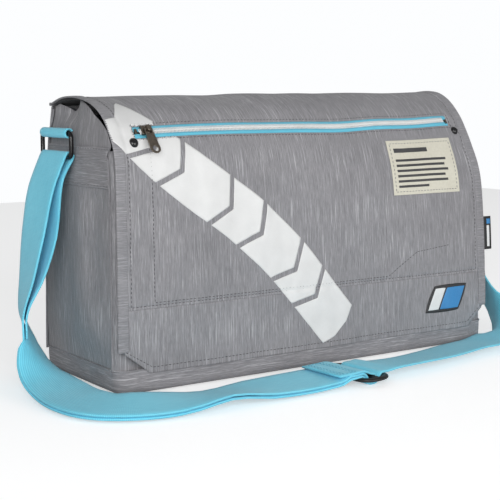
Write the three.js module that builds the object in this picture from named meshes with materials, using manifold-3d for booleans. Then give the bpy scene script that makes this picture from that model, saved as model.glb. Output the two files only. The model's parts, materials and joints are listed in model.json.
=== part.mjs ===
// A flap-over shoulder bag for table-tennis bats: a sewn fabric body with a hinged flap, a zip pocket in the
// flap, and an adjustable webbing strap. Millimetres, +Z up, the front faces -Y, the origin is the middle of
// the underside. Every fabric layer is its own thin solid, and touching layers keep a small gap.
import * as THREE from "three";
import { mergeVertices } from "three/addons/utils/BufferGeometryUtils.js";
import Module from "manifold-3d";

const wasm = await Module();
wasm.setup();

// ---- driving dimensions -------------------------------------------------------------------------
const WIDTH = 420; // outside width of the body and of the flap
const DEPTH = 139; // outside depth of the base
const HALF = WIDTH / 2;
const GAP = 0.4; // clearance kept between layers that touch
const FABRIC = 1.2; // outer fabric
const LINING = 0.8; // thin lining fabric
const BASE_TOP = 21; // height of the band sewn round the base
const BASE_CORNER = 10; // plan radius of the base corners
const SIDE_TOP = 230; // height where the side panels end under the flap
const HINGE_Y = 50; // seam that joins the flap to the back panel
const HINGE_Z = 240;
const WEBBING_WIDTH = 50;
const WEBBING = 1.6; // webbing thickness
const TAB_Y = 22; // middle of the strap tabs on the side panels
const TAB_Z = 216;
const TAB_X = HALF + 7;

// Depths of the flap's layers and of the body's front, measured inwards from the flap's outer face.
const POCKET_DEPTH = FABRIC + GAP;
const FLAP_LINING_DEPTH = POCKET_DEPTH + LINING + GAP;
const HOOK_DEPTH = FLAP_LINING_DEPTH + LINING + GAP;
const HOOK = 1;
const LOOP_DEPTH = HOOK_DEPTH + HOOK + GAP;
const FRONT_DEPTH = LOOP_DEPTH + HOOK + GAP;

// ---- materials ----------------------------------------------------------------------------------
const finish = (color, roughness, metalness = 0) =>
  new THREE.MeshStandardMaterial({ color, roughness, metalness });
const FABRIC_GREY = finish(0x85878f, 0.9);
const BAND_GREY = finish(0x7c7e86, 0.9);
const LINING_DARK = finish(0x2d2f34, 0.8);
const FOAM = finish(0xd9d6cc, 0.95);
const BOARD = finish(0x3a3a3c, 0.7);
const WEBBING_BLUE = finish(0x7cd0ea, 0.6);
const ZIP_WHITE = finish(0xf0f0ec, 0.5);
const GUNMETAL = finish(0x5c5248, 0.35, 0.9);
const BLACK_METAL = finish(0x141416, 0.3, 0.6);
const BLACK_PLASTIC = finish(0x18181a, 0.45);
const CREAM = finish(0xe6e1d0, 0.8);
const BADGE_RUBBER = finish(0x3b8fca, 0.5);
const HOOK_TAPE = finish(0x1c1d20, 0.95);

const bag = new THREE.Group();

function add(name, geometry, material) {
  const mesh = new THREE.Mesh(geometry, material);
  mesh.name = name;
  bag.add(mesh);
  return mesh;
}

// ---- geometry helpers ---------------------------------------------------------------------------
const lerp = THREE.MathUtils.lerp;

// A closed slab: a segmented block whose corners (u, v, w), each 0 to 1, are moved by place(u, v, w).
function slab(uSteps, vSteps, place) {
  const geometry = new THREE.BoxGeometry(1, 1, 1, uSteps, vSteps, 1);
  const position = geometry.getAttribute("position");
  for (let i = 0; i < position.count; i += 1) {
    const [u, v, w] = [position.getX(i) + 0.5, position.getY(i) + 0.5, position.getZ(i) + 0.5];
    const point = place(u, v, w);
    position.setXYZ(i, point.x, point.y, point.z);
  }
  return geometry;
}

function solid(geometry) {
  const bare = geometry.clone();
  bare.deleteAttribute("normal");
  bare.deleteAttribute("uv");
  const merged = mergeVertices(bare, 1e-4);
  const triVerts = merged.index
    ? new Uint32Array(merged.index.array)
    : new Uint32Array(merged.getAttribute("position").count).map((_, i) => i);
  return new wasm.Manifold(
    new wasm.Mesh({ numProp: 3, vertProperties: merged.getAttribute("position").array, triVerts }),
  );
}

function geometryOf(manifold) {
  const mesh = manifold.getMesh();
  const geometry = new THREE.BufferGeometry();
  geometry.setAttribute("position", new THREE.BufferAttribute(mesh.vertProperties, 3));
  geometry.setIndex(new THREE.BufferAttribute(mesh.triVerts, 1));
  return geometry;
}

function block(x0, x1, y0, y1, z0, z1) {
  const geometry = new THREE.BoxGeometry(x1 - x0, y1 - y0, z1 - z0);
  return geometry.translate((x0 + x1) / 2, (y0 + y1) / 2, (z0 + z1) / 2);
}

function roundedRectangle(halfX, halfY, radius) {
  const shape = new THREE.Shape();
  shape.moveTo(halfX, halfY - radius);
  shape.absarc(halfX - radius, halfY - radius, radius, 0, Math.PI / 2);
  shape.absarc(-halfX + radius, halfY - radius, radius, Math.PI / 2, Math.PI);
  shape.absarc(-halfX + radius, -halfY + radius, radius, Math.PI, Math.PI * 1.5);
  shape.absarc(halfX - radius, -halfY + radius, radius, Math.PI * 1.5, Math.PI * 2);
  return shape;
}

function flatPlate(shape, z0, z1) {
  const geometry = new THREE.ExtrudeGeometry(shape, {
    depth: z1 - z0,
    bevelEnabled: false,
    curveSegments: 6,
  });
  return geometry.translate(0, 0, z0);
}

// A plate in the YZ plane, from x0 to x1.
function sidePlate(points, x0, x1) {
  const geometry = flatPlate(new THREE.Shape(points), 0, x1 - x0);
  const axes = new THREE.Matrix4().makeBasis(
    new THREE.Vector3(0, 1, 0),
    new THREE.Vector3(0, 0, 1),
    new THREE.Vector3(1, 0, 0),
  );
  return geometry.applyMatrix4(axes).translate(x0, 0, 0);
}

// ---- the flap's outer face ----------------------------------------------------------------------
// It is ruled from left to right between two side profiles, each given as [y, z] at numbered stations.
const HINGE = 0;
const FOLD = 2;
const ZIP = 5;
const SEAM = 9;
const HEM = 10;
const LEFT_PROFILE = [
  [HINGE_Y, HINGE_Z], [27, 246], [2, 247.5], [-24, 243], [-44, 233], [-59, 218],
  [-68.5, 199], [-71.5, 168], [-72, 120], [-72, 72], [-72, 18],
];
const RIGHT_PROFILE = [
  [HINGE_Y, HINGE_Z], [30, 250], [8, 251], [-8, 246], [-22, 236], [-34, 222],
  [-47, 199], [-60, 168], [-67, 120], [-70.5, 72], [-72, 18],
];
const splineOf = (points) => new THREE.SplineCurve(points.map(([y, z]) => new THREE.Vector2(y, z)));
const leftSpline = splineOf(LEFT_PROFILE);
const rightSpline = splineOf(RIGHT_PROFILE);

function flapLine(station, x) {
  const share = (x + HALF) / WIDTH;
  return leftSpline.getPoint(station / HEM).lerp(rightSpline.getPoint(station / HEM), share);
}

function flapFrame(station, x) {
  const step = 0.02;
  const from = flapLine(Math.max(station - step, HINGE), x);
  const to = flapLine(Math.min(station + step, HEM), x);
  const along = to.sub(from).normalize();
  const point = flapLine(station, x);
  return {
    point: new THREE.Vector3(x, point.x, point.y),
    out: new THREE.Vector3(0, along.y, -along.x),
  };
}

function onFlap(station, x, depth) {
  const { point, out } = flapFrame(station, x);
  return point.addScaledVector(out, -depth);
}

// A layer that follows the flap, between two stations, two x limits (numbers or functions of the station) and
// two depths.
function flapLayer(stations, xLimits, depths, vSteps, uSteps = 2) {
  const limit = (edge, station) => (typeof edge === "function" ? edge(station) : edge);
  return slab(uSteps, vSteps, (u, v, w) => {
    const station = lerp(stations[0], stations[1], v);
    const x = lerp(limit(xLimits[0], station), limit(xLimits[1], station), u);
    return onFlap(station, x, lerp(depths[0], depths[1], w));
  });
}

// The flap's lower corners are cut off at an angle, from CHAMFER_TOP down to the hem.
const CHAMFER_TOP = SEAM + 0.52;
const CHAMFER_LEFT = 30;
const CHAMFER_RIGHT = 24;
const chamferShare = (station) => Math.max(0, (station - CHAMFER_TOP) / (HEM - CHAMFER_TOP));
const leftEdge = (inset) => (station) => -HALF + inset + CHAMFER_LEFT * chamferShare(station);
const rightEdge = (inset) => (station) => HALF - inset - CHAMFER_RIGHT * chamferShare(station);

// ---- body ---------------------------------------------------------------------------------------
const BACK_PROFILE = [[HINGE_Y, HINGE_Z - 1.4], [57, 205], [63, 150], [67, 80], [69, BASE_TOP + GAP]];
const backSpline = splineOf(BACK_PROFILE);

function onBack(share, depth) {
  const point = backSpline.getPoint(share);
  const along = backSpline.getTangent(share);
  return new THREE.Vector2(point.x + along.y * depth, point.y - along.x * depth);
}

function backLayer(shares, halfWidth, depths, vSteps) {
  return slab(2, vSteps, (u, v, w) => {
    const point = onBack(lerp(shares[0], shares[1], v), lerp(depths[1], depths[0], w));
    return new THREE.Vector3(lerp(-halfWidth, halfWidth, u), point.x, point.y);
  });
}

const FRONT_TOP = 5.7; // station of the front panel's top edge
const FRONT_FOOT = 9.89; // station where it meets the base band
const PANEL_HALF = HALF - 2.2;
const SIDE_BAND_Z = [172, 206]; // the reinforcement sewn across each side

// The outline of a side panel at x: up the front, across under the flap, down the back.
function sideOutline(x, inset, foot) {
  const points = [];
  const topStation = 4.3;
  const steps = 8;
  for (let i = 0; i <= steps; i += 1) {
    const p = onFlap(lerp(FRONT_FOOT, topStation, i / steps), x, FRONT_DEPTH + inset);
    points.push(new THREE.Vector2(p.y, Math.min(p.z, SIDE_TOP)));
  }
  for (let i = 0; i <= steps; i += 1) {
    const p = onBack(lerp(0.1, 1, i / steps), inset);
    points.push(new THREE.Vector2(p.x, Math.min(p.y, SIDE_TOP)));
  }
  points[0].y = foot;
  points[points.length - 1].y = foot;
  return points.reverse().filter((p, i, all) => i === 0 || p.distanceTo(all[i - 1]) > 0.5);
}

function buildBody() {
  const base = roundedRectangle(HALF - 2, DEPTH / 2 - 2, BASE_CORNER - 2);
  add("base_panel", flatPlate(base, 0, 2), BAND_GREY);

  const stiffener = roundedRectangle(HALF - 6, DEPTH / 2 - 6, BASE_CORNER - 5);
  add("base_stiffener", flatPlate(stiffener, 2 + GAP, 5 + GAP), BOARD);

  const band = roundedRectangle(HALF, DEPTH / 2, BASE_CORNER);
  band.holes.push(roundedRectangle(HALF - 1.5, DEPTH / 2 - 1.5, BASE_CORNER - 1.5));
  add("base_band", flatPlate(band, 2 + GAP, BASE_TOP), BAND_GREY);

  const front = [FRONT_DEPTH, FRONT_DEPTH + FABRIC];
  add("front_panel", flapLayer([FRONT_TOP, FRONT_FOOT], [-PANEL_HALF, PANEL_HALF], front, 10), FABRIC_GREY);
  add("back_panel", backLayer([0, 1], PANEL_HALF, [0, FABRIC], 10), FABRIC_GREY);

  const padding = [FABRIC + GAP, FABRIC + GAP + 3];
  add("back_padding", backLayer([0.1, 0.97], PANEL_HALF - 5, padding, 8), FOAM);

  for (const [side, sign] of [["left", -1], ["right", 1]]) {
    const inner = sign * (HALF - 1.8);
    const outer = sign * (HALF - 0.4);
    const outline = sideOutline(sign * HALF, 0, BASE_TOP + GAP);
    const panel = sidePlate(outline, Math.min(inner, outer), Math.max(inner, outer));
    add(`side_panel_${side}`, panel, FABRIC_GREY);

    const bandNear = sign * HALF;
    const bandFar = sign * (HALF + 1);
    const reach = sidePlate(sideOutline(sign * HALF, 2, BASE_TOP + 2), -HALF - 20, HALF + 20);
    const bandX = [Math.min(bandNear, bandFar), Math.max(bandNear, bandFar)];
    const slice = block(...bandX, -100, 100, ...SIDE_BAND_Z);
    add(`side_band_${side}`, geometryOf(solid(reach).intersect(solid(slice))), BAND_GREY);

    const anchor = [sign * (HALF - 4), sign * (HALF - 2.3)].sort((a, b) => a - b);
    const half = WEBBING_WIDTH / 2;
    const tail = block(anchor[0], anchor[1], TAB_Y - half, TAB_Y + half, 176, TAB_Z + 6);
    add(`strap_anchor_${side}`, tail, WEBBING_BLUE);
  }
}

// The lining is one sewn bag, open at the top.
const LINING_FRONT = FRONT_DEPTH + FABRIC + GAP;
const LINING_BACK = FABRIC + GAP + 3 + GAP;
const LINING_HALF = HALF - 4.6;
const LINING_FOOT = 6;

function buildLining() {
  const frontSheet = flapLayer(
    [FRONT_TOP + 0.1, HEM],
    [-LINING_HALF, LINING_HALF],
    [LINING_FRONT, LINING_FRONT + LINING],
    10,
  );
  const backSheet = backLayer([0.05, 1], LINING_HALF, [LINING_BACK, LINING_BACK + LINING], 8);
  const [rim, wall] = [64, 60.8]; // the seam allowance round the lining's bottom
  const bottom = block(-LINING_HALF, LINING_HALF, -rim, rim, LINING_FOOT, LINING_FOOT + LINING);
  const skirtFront = block(-LINING_HALF, LINING_HALF, -rim, -wall, LINING_FOOT, 20);
  const skirtBack = block(-LINING_HALF, LINING_HALF, wall + 2, rim, LINING_FOOT, 22.5);
  let bagLining = solid(frontSheet).add(solid(backSheet)).add(solid(bottom));
  bagLining = bagLining.add(solid(skirtFront)).add(solid(skirtBack));
  for (const sign of [-1, 1]) {
    const outline = sideOutline(sign * HALF, 4.5, LINING_FOOT);
    const near = sign * (LINING_HALF - LINING);
    const far = sign * LINING_HALF;
    const end = sidePlate(outline, Math.min(near, far), Math.max(near, far));
    bagLining = bagLining.add(solid(end));
  }
  add("body_lining", geometryOf(bagLining), LINING_DARK);
}

// A slip pocket for the bats, open at the top, sewn to the back lining.
const POCKET_HALF = 120;
const POCKET_DEPTH_Y = 9;
const POCKET_Z = [30, 165];
const POCKET_Y = 42;

function buildInnerPocket() {
  const outer = block(-POCKET_HALF, POCKET_HALF, POCKET_Y, POCKET_Y + POCKET_DEPTH_Y, ...POCKET_Z);
  const wall = 1;
  const hollow = block(
    -POCKET_HALF + wall, POCKET_HALF - wall,
    POCKET_Y + wall, POCKET_Y + POCKET_DEPTH_Y - wall,
    POCKET_Z[0] + wall, POCKET_Z[1] + 5,
  );
  add("inner_pocket", geometryOf(solid(outer).subtract(solid(hollow))), LINING_DARK);
}

// Hook-and-loop strips hold the flap's lower band to the front panel.
const FASTENER_X = [-125, 125];
const FASTENER_HALF = 30;
const FASTENER_STATIONS = [SEAM + 0.2, SEAM + 0.66];

function buildFasteners() {
  for (const [side, x] of [["left", FASTENER_X[0]], ["right", FASTENER_X[1]]]) {
    const limits = [x - FASTENER_HALF, x + FASTENER_HALF];
    const hook = [HOOK_DEPTH, HOOK_DEPTH + HOOK];
    const loop = [LOOP_DEPTH, LOOP_DEPTH + HOOK];
    add(`hook_strip_${side}`, flapLayer(FASTENER_STATIONS, limits, hook, 2), HOOK_TAPE);
    add(`loop_strip_${side}`, flapLayer(FASTENER_STATIONS, limits, loop, 2), HOOK_TAPE);
  }
}

// ---- flap ---------------------------------------------------------------------------------------
const EDGE_STRIP = 10; // width of the strips sewn down the flap's sides
const ZIP_MM = 2 * leftSpline.getPoint((ZIP - 0.5) / HEM).distanceTo(leftSpline.getPoint(ZIP / HEM));
const ZIP_SLOT_HALF = 6.6;
const ZIP_LEFT = -186;
const ZIP_RIGHT = 186;
const COIL_HALF = 2.3;
const zipStation = (millimetres) => ZIP + millimetres / ZIP_MM;

const RIVET_SPOTS = [["left", -189, ZIP + 0.47], ["right", 191, ZIP + 0.5]];
const RIVET_POST = 1.2;
const RIVET_HEAD = 3.4;

function seated(mesh, station, x, depth = 0) {
  const { out } = flapFrame(station, x);
  mesh.quaternion.setFromUnitVectors(new THREE.Vector3(0, 1, 0), out);
  mesh.position.copy(onFlap(station, x, depth));
  return mesh;
}

function lathe(profile, steps = 20) {
  return new THREE.LatheGeometry(profile.map(([r, y]) => new THREE.Vector2(r, y)), steps);
}

function buildRivet(side, x, station) {
  const lift = GAP; // the head stands just off the fabric
  const cap = lathe([
    [0, -POCKET_DEPTH - LINING], [RIVET_POST, -POCKET_DEPTH - LINING], [RIVET_POST, lift], [RIVET_HEAD, lift],
    [RIVET_HEAD, lift + 0.5], [RIVET_HEAD * 0.8, lift + 1.5], [RIVET_HEAD * 0.4, lift + 2.1], [0, lift + 2.3],
  ]);
  seated(add(`rivet_${side}`, cap, BLACK_METAL), station, x);
  const bore = RIVET_POST + 0.4;
  const washer = lathe([
    [bore, -POCKET_DEPTH - 0.7], [RIVET_HEAD, -POCKET_DEPTH - 0.7], [RIVET_HEAD, -POCKET_DEPTH],
    [bore, -POCKET_DEPTH], [bore, -POCKET_DEPTH - 0.7],
  ]);
  seated(add(`rivet_washer_${side}`, washer, BLACK_METAL), station, x);
}

function rivetHole(x, station) {
  const hole = new THREE.CylinderGeometry(RIVET_POST + 0.4, RIVET_POST + 0.4, 8, 12);
  const seat = new THREE.Mesh(hole);
  seated(seat, station, x);
  seat.updateMatrixWorld(true);
  return solid(hole.clone().applyMatrix4(seat.matrixWorld));
}

function buildFlap() {
  const skin = [0, FABRIC];
  const foldGap = 0.03;
  add("flap_top_panel", flapLayer([0.06, FOLD - foldGap], [-HALF, HALF], skin, 6), FABRIC_GREY);
  const topLining = [FLAP_LINING_DEPTH, FLAP_LINING_DEPTH + LINING];
  add("flap_top_lining", flapLayer([0.2, FOLD - foldGap], [-HALF + 4, HALF - 4], topLining, 6), LINING_DARK);

  const strip = EDGE_STRIP + GAP;
  let panel = solid(flapLayer([FOLD + foldGap, SEAM - 0.01], [-HALF + strip, HALF - strip], skin, 22));
  const slotStations = [zipStation(-ZIP_SLOT_HALF), zipStation(ZIP_SLOT_HALF)];
  const slot = flapLayer(slotStations, [ZIP_LEFT, ZIP_RIGHT], [-4, 6], 2);
  panel = panel.subtract(solid(slot));
  for (const [, x, station] of RIVET_SPOTS) panel = panel.subtract(rivetHole(x, station));
  add("flap_front_panel", geometryOf(panel), FABRIC_GREY);

  const bandLimits = [leftEdge(strip), rightEdge(strip)];
  add("flap_lower_band", flapLayer([SEAM + 0.01, HEM], bandLimits, skin, 6), FABRIC_GREY);
  const stripStations = [FOLD + foldGap, CHAMFER_TOP];
  add("flap_edge_left", flapLayer(stripStations, [-HALF, -HALF + EDGE_STRIP], skin, 16, 1), BAND_GREY);
  add("flap_edge_right", flapLayer(stripStations, [HALF - EDGE_STRIP, HALF], skin, 16, 1), BAND_GREY);
  const liningLimits = [leftEdge(4), rightEdge(4)];
  const lining = flapLayer([FOLD + foldGap, HEM - 0.12], liningLimits, topLining, 18);
  add("flap_front_lining", lining, LINING_DARK);
  const pocketStations = [zipStation(-ZIP_SLOT_HALF - 5), SEAM - 0.05];
  const pocket = flapLayer(pocketStations, [-176, 176], [POCKET_DEPTH, POCKET_DEPTH + LINING], 12);
  add("zip_pocket_lining", pocket, LINING_DARK);
  for (const spot of RIVET_SPOTS) buildRivet(...spot);
}

function buildZip() {
  const edge = ZIP_SLOT_HALF - GAP;
  const tape = [0.3, 1];
  const limits = [ZIP_LEFT + GAP, ZIP_RIGHT - GAP];
  const upper = [zipStation(-edge), zipStation(-COIL_HALF - GAP)];
  const lower = [zipStation(COIL_HALF + GAP), zipStation(edge)];
  add("zip_tape_upper", flapLayer(upper, limits, tape, 1, 4), WEBBING_BLUE);
  add("zip_tape_lower", flapLayer(lower, limits, tape, 1, 4), WEBBING_BLUE);
  const coil = [zipStation(-COIL_HALF), zipStation(COIL_HALF)];
  add("zip_coil", flapLayer(coil, [ZIP_LEFT + 4, ZIP_RIGHT - 4], [-0.9, 1], 2, 4), ZIP_WHITE);
  for (const [side, x] of [["left", ZIP_LEFT + 2], ["right", ZIP_RIGHT - 2]]) {
    const stop = flapLayer(coil, [x - 1.2, x + 1.2], [-0.9, 1], 1, 1);
    add(`zip_stop_${side}`, stop, ZIP_WHITE);
  }
}

// The slider's frame: x along the zip, y out of the flap, z down the flap.
const SLIDER_X = ZIP_LEFT + 12;
const SLIDER_LENGTH = 11;
const SLIDER_HALF_WIDTH = 4.2;
const PULLER_LENGTH = 24;

function placedOnZip(geometry) {
  const { point, out } = flapFrame(ZIP, SLIDER_X);
  const along = new THREE.Vector3()
    .subVectors(onFlap(ZIP, HALF, 0), onFlap(ZIP, -HALF, 0))
    .normalize();
  const normal = out.clone().addScaledVector(along, -out.dot(along)).normalize();
  const down = new THREE.Vector3().crossVectors(along, normal);
  const axes = new THREE.Matrix4().makeBasis(along, normal, down).setPosition(point);
  return geometry.applyMatrix4(axes);
}

// The slider's channel rides over the coil, and a bridge across it holds the puller's bar.
const BRIDGE = { halfX: 1.6, legZ: 2.3, legHalf: 0.5, foot: 2, top: 5.2, height: 6.2 };
const PULLER_BAR_Y = 3.8; // height of the puller's bar, between slider and bridge

function buildSlider() {
  const half = SLIDER_LENGTH / 2;
  const { halfX, legZ, legHalf, foot, top, height } = BRIDGE;
  let body = solid(block(-half, half, 1.3, 2.6, -SLIDER_HALF_WIDTH, SLIDER_HALF_WIDTH));
  for (const sign of [-1, 1]) {
    const flange = [sign * (COIL_HALF + GAP + 0.2), sign * SLIDER_HALF_WIDTH].sort((a, b) => a - b);
    body = body.add(solid(block(-half, half, 0.1, 2, ...flange)));
    const leg = block(-halfX, halfX, foot, height, sign * legZ - legHalf, sign * legZ + legHalf);
    body = body.add(solid(leg));
  }
  body = body.add(solid(block(-halfX, halfX, top, height, -legZ - legHalf, legZ + legHalf)));
  add("zip_slider", placedOnZip(geometryOf(body)), GUNMETAL);
}

// The puller is a tapered tab with a round hole near its end. Two arms join it to the bar under the bridge.
function buildPuller() {
  const armX = 3.2;
  const armHalf = 0.7;
  const neck = 4.7; // where the arms meet the tab
  const endRadius = 4.6;
  const half = 0.6; // half the tab's thickness
  const centre = PULLER_LENGTH - endRadius;
  const outline = new THREE.Shape();
  outline.moveTo(-armX - armHalf, -neck);
  outline.lineTo(-endRadius, -centre);
  outline.absarc(0, -centre, endRadius, Math.PI, Math.PI * 2, false);
  outline.lineTo(armX + armHalf, -neck);
  const hole = new THREE.Path();
  hole.absarc(0, -centre, 2.9, 0, Math.PI * 2, true);
  outline.holes.push(hole);
  const tab = new THREE.ExtrudeGeometry(outline, { depth: half * 2, bevelEnabled: false, curveSegments: 10 });
  const hanging = new THREE.Matrix4().makeBasis(
    new THREE.Vector3(1, 0, 0),
    new THREE.Vector3(0, 0, -1),
    new THREE.Vector3(0, 1, 0),
  );
  const [near, far] = [PULLER_BAR_Y - half, PULLER_BAR_Y + half];
  let body = solid(tab.applyMatrix4(hanging).translate(0, near, 0));
  for (const sign of [-1, 1]) {
    const x = sign * armX;
    body = body.add(solid(block(x - armHalf, x + armHalf, near, far, -0.7, neck + 1)));
  }
  const bar = new THREE.CylinderGeometry(0.75, 0.75, armX * 2, 10).rotateZ(Math.PI / 2);
  body = body.add(solid(bar.translate(0, PULLER_BAR_Y, 0)));
  add("zip_puller", placedOnZip(geometryOf(body)), GUNMETAL);
}

// ---- sewn-on marks ------------------------------------------------------------------------------
function buildMarks() {
  add("label_patch", flapLayer([5.7, 7.27], [93, 176], [-GAP - 0.6, -GAP], 4, 2), CREAM);

  const badgeSkew = 12;
  const badge = slab(2, 2, (u, v, w) => {
    const station = lerp(SEAM + 0.16, SEAM + 0.6, v);
    const x = lerp(139, 184, u) - badgeSkew * v;
    return onFlap(station, x, lerp(-GAP - 1.5, -GAP, w));
  });
  add("badge", badge, BADGE_RUBBER);

  const tag = flapLayer([7.86, 8.56], [HALF + GAP, HALF + 11], [-0.4, 1], 2, 1);
  add("side_tag", tag, BLACK_PLASTIC);
}

// ---- strap --------------------------------------------------------------------------------------
const RING_BAR = 4;
const RING_INNER = WEBBING_WIDTH + 2;
const RING_DROP = 20; // from the bar in the tab loop to the bar that holds the strap
const RING_FOOT_Z = TAB_Z - RING_DROP;

function buildRingAndTab(side, sign) {
  const halfLength = RING_INNER / 2 + RING_BAR;
  const halfHeight = RING_DROP / 2 + RING_BAR / 2;
  const outline = roundedRectangle(halfLength, halfHeight, 3.5);
  outline.holes.push(roundedRectangle(halfLength - RING_BAR, halfHeight - RING_BAR, 1.2));
  const ring = new THREE.ExtrudeGeometry(outline, {
    depth: RING_BAR - 1.6,
    bevelThickness: 0.8,
    bevelSize: 0.8,
    bevelOffset: -0.8,
    bevelSegments: 1,
    curveSegments: 3,
  });
  ring.translate(0, 0, 0.8 - RING_BAR / 2);
  const axes = new THREE.Matrix4().makeBasis(
    new THREE.Vector3(0, 1, 0),
    new THREE.Vector3(0, 0, 1),
    new THREE.Vector3(1, 0, 0),
  );
  ring.applyMatrix4(axes).translate(sign * TAB_X, TAB_Y, TAB_Z - RING_DROP / 2);
  add(`strap_ring_${side}`, ring, BLACK_METAL);

  const [inner, outer, half] = [3.5, 5.1, WEBBING_WIDTH / 2];
  const loop = lathe([[inner, -half], [outer, -half], [outer, half], [inner, half], [inner, -half]], 16);
  add(`tab_loop_${side}`, loop.translate(sign * TAB_X, TAB_Y, TAB_Z), WEBBING_BLUE);
}

// The strap's centre line from the left ring to the right one: x, y, z, then the direction across the
// webbing, from its outer or front edge to its inner or back edge.
const STRAP_ROUTE = [
  [-TAB_X, TAB_Y, RING_FOOT_Z, 0, 1, 0],
  [-230, TAB_Y, 172, 0, 1, 0],
  [-239, TAB_Y, 132, 0.05, 1, 0],
  [-247, 20, 92, 0.2, 1, 0],
  [-254, 16, 60, 0.35, 0.92, -0.1],
  [-250, 9, 34, 0.55, 0.55, -0.35],
  [-250, -17, 15, 0.88, 0.22, -0.1],
  [-251, -50, 8, 1, 0, 0.02],
  [-251, -82, 7, 0.96, 0.25, 0.08],
  [-243, -108, 7, 0.8, 0.6, 0.1],
  [-223, -123, 7.5, 0.5, 0.86, 0.12],
  [-192, -130, 7, 0.15, 0.98, 0.06],
  [-150, -131, 7.5, -0.04, 0.97, -0.14],
  [-110, -131, 6.5, 0, 1, 0.02],
  [-72, -131, 6.5, 0, 1, 0.06],
  [-42, -130, 7.5, 0, 1, 0.04],
  [-8, -127, 10, 0, 1, 0],
  [24, -125, 9, -0.05, 1, -0.08],
  [62, -122, 8, -0.1, 1, -0.12],
  [105, -114, 7, -0.2, 0.98, -0.1],
  [148, -105, 7.5, -0.25, 0.96, -0.1],
  [185, -102, 9, -0.2, 0.96, -0.08],
  [216, -90, 16, 0.1, 0.95, -0.1],
  [231, -64, 32, 0.45, 0.75, -0.3],
  [234, -38, 58, 0.5, 0.8, -0.3],
  [235, -8, 96, 0.3, 0.95, -0.2],
  [234, 14, 142, 0.05, 1, 0],
  [229, TAB_Y, 178, 0, 1, 0],
  [TAB_X, TAB_Y, RING_FOOT_Z, 0, 1, 0],
];
const routePoints = STRAP_ROUTE.map((row) => new THREE.Vector3(...row.slice(0, 3)));
const routeAcross = STRAP_ROUTE.map((row) => new THREE.Vector3(...row.slice(3)));
const routeCurve = new THREE.CatmullRomCurve3(routePoints);
const acrossCurve = new THREE.CatmullRomCurve3(routeAcross);
const ROUTE_LAST = STRAP_ROUTE.length - 1;
const ADJUSTER_AT = 16; // index of the route's point at the middle of the adjuster

function strapFrame(index) {
  const t = index / ROUTE_LAST;
  const tangent = routeCurve.getTangent(t);
  const across = acrossCurve.getPoint(t);
  across.addScaledVector(tangent, -across.dot(tangent)).normalize();
  const inward = new THREE.Vector3().crossVectors(tangent, across);
  return { point: routeCurve.getPoint(t), tangent, across, inward };
}

// A point beside the centre line: `lift` towards the loop's inside, `shift` along it.
function besideStrap(index, lift, shift = 0) {
  const { point, tangent, across, inward } = strapFrame(index);
  point.addScaledVector(inward, lift).addScaledVector(tangent, shift);
  return { point, across };
}

const STRAND = 1.45; // half the distance between the strap's two strands
const BAR_CLEAR = 3.9; // the webbing's distance from a ring bar's middle
const CLOSING = 0.8; // route steps over which the strands close up after a ring
const spread = (index, ring) => lerp(BAR_CLEAR, STRAND, Math.min(1, Math.abs(index - ring) / CLOSING));

// Half a turn of webbing round a bar, from one face of the strap to the other.
function roundBar(index, radius, from, to, back) {
  const turns = [];
  const steps = 6;
  for (let i = 1; i < steps; i += 1) {
    const angle = lerp(from, to, i / steps);
    turns.push(besideStrap(index, radius * Math.cos(angle), back * radius * Math.sin(angle)));
  }
  return turns;
}

// How the webbing meets the adjuster, as [distance along, lift] from the adjuster's middle. One strand lies
// over the side bars and dips under the middle bar. The sewn end wraps that bar, and its tail lies on top.
const BAR_LIFT = -3.45; // height of the adjuster's bars from the strap's centre line
const SEWN_TURN = { along: 4.2, lift: 3.2 }; // half axes of the sewn end's turn round the middle bar
const SEWN_TAIL = [[-38, 3.3], [-26, 3.3], [-18, 3.2], [-12, 3.4], [-6, 2.2], [-2.5, 0.4]];
const SEWN_RETURN = [[-4.6, -5.4], [-6.6, -1.6], [-9.3, 0.9], [-12.5, 1.3], [-19, 1.1], [-26, STRAND]];
const THREADED = [
  [-26, -STRAND], [-19, -1.1], [-14, -0.9], [-11, -1.2], [-9, -3.2], [-7.5, -5.8], [-4.5, -8.2],
  [0, -8.8], [4.5, -8.2], [7.5, -4.4], [10.5, -1.2], [13, -0.7], [16, -0.8], [19, -0.9], [26, -0.6],
];

const ROUTE_STEP = 0.34; // distance between the path's places along the route
const CLEAR_OF_RING = 0.3;
const THREAD_FROM = ADJUSTER_AT - 1; // the doubled part ends here
const THREAD_TO = ADJUSTER_AT + 1.2; // the single part starts here
const TURNED_BACK = 1.9; // route steps of webbing turned back through the right ring
const PARTING = { before: 2.6, over: 1.2 }; // where the two strands part on the way to the right ring

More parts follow.
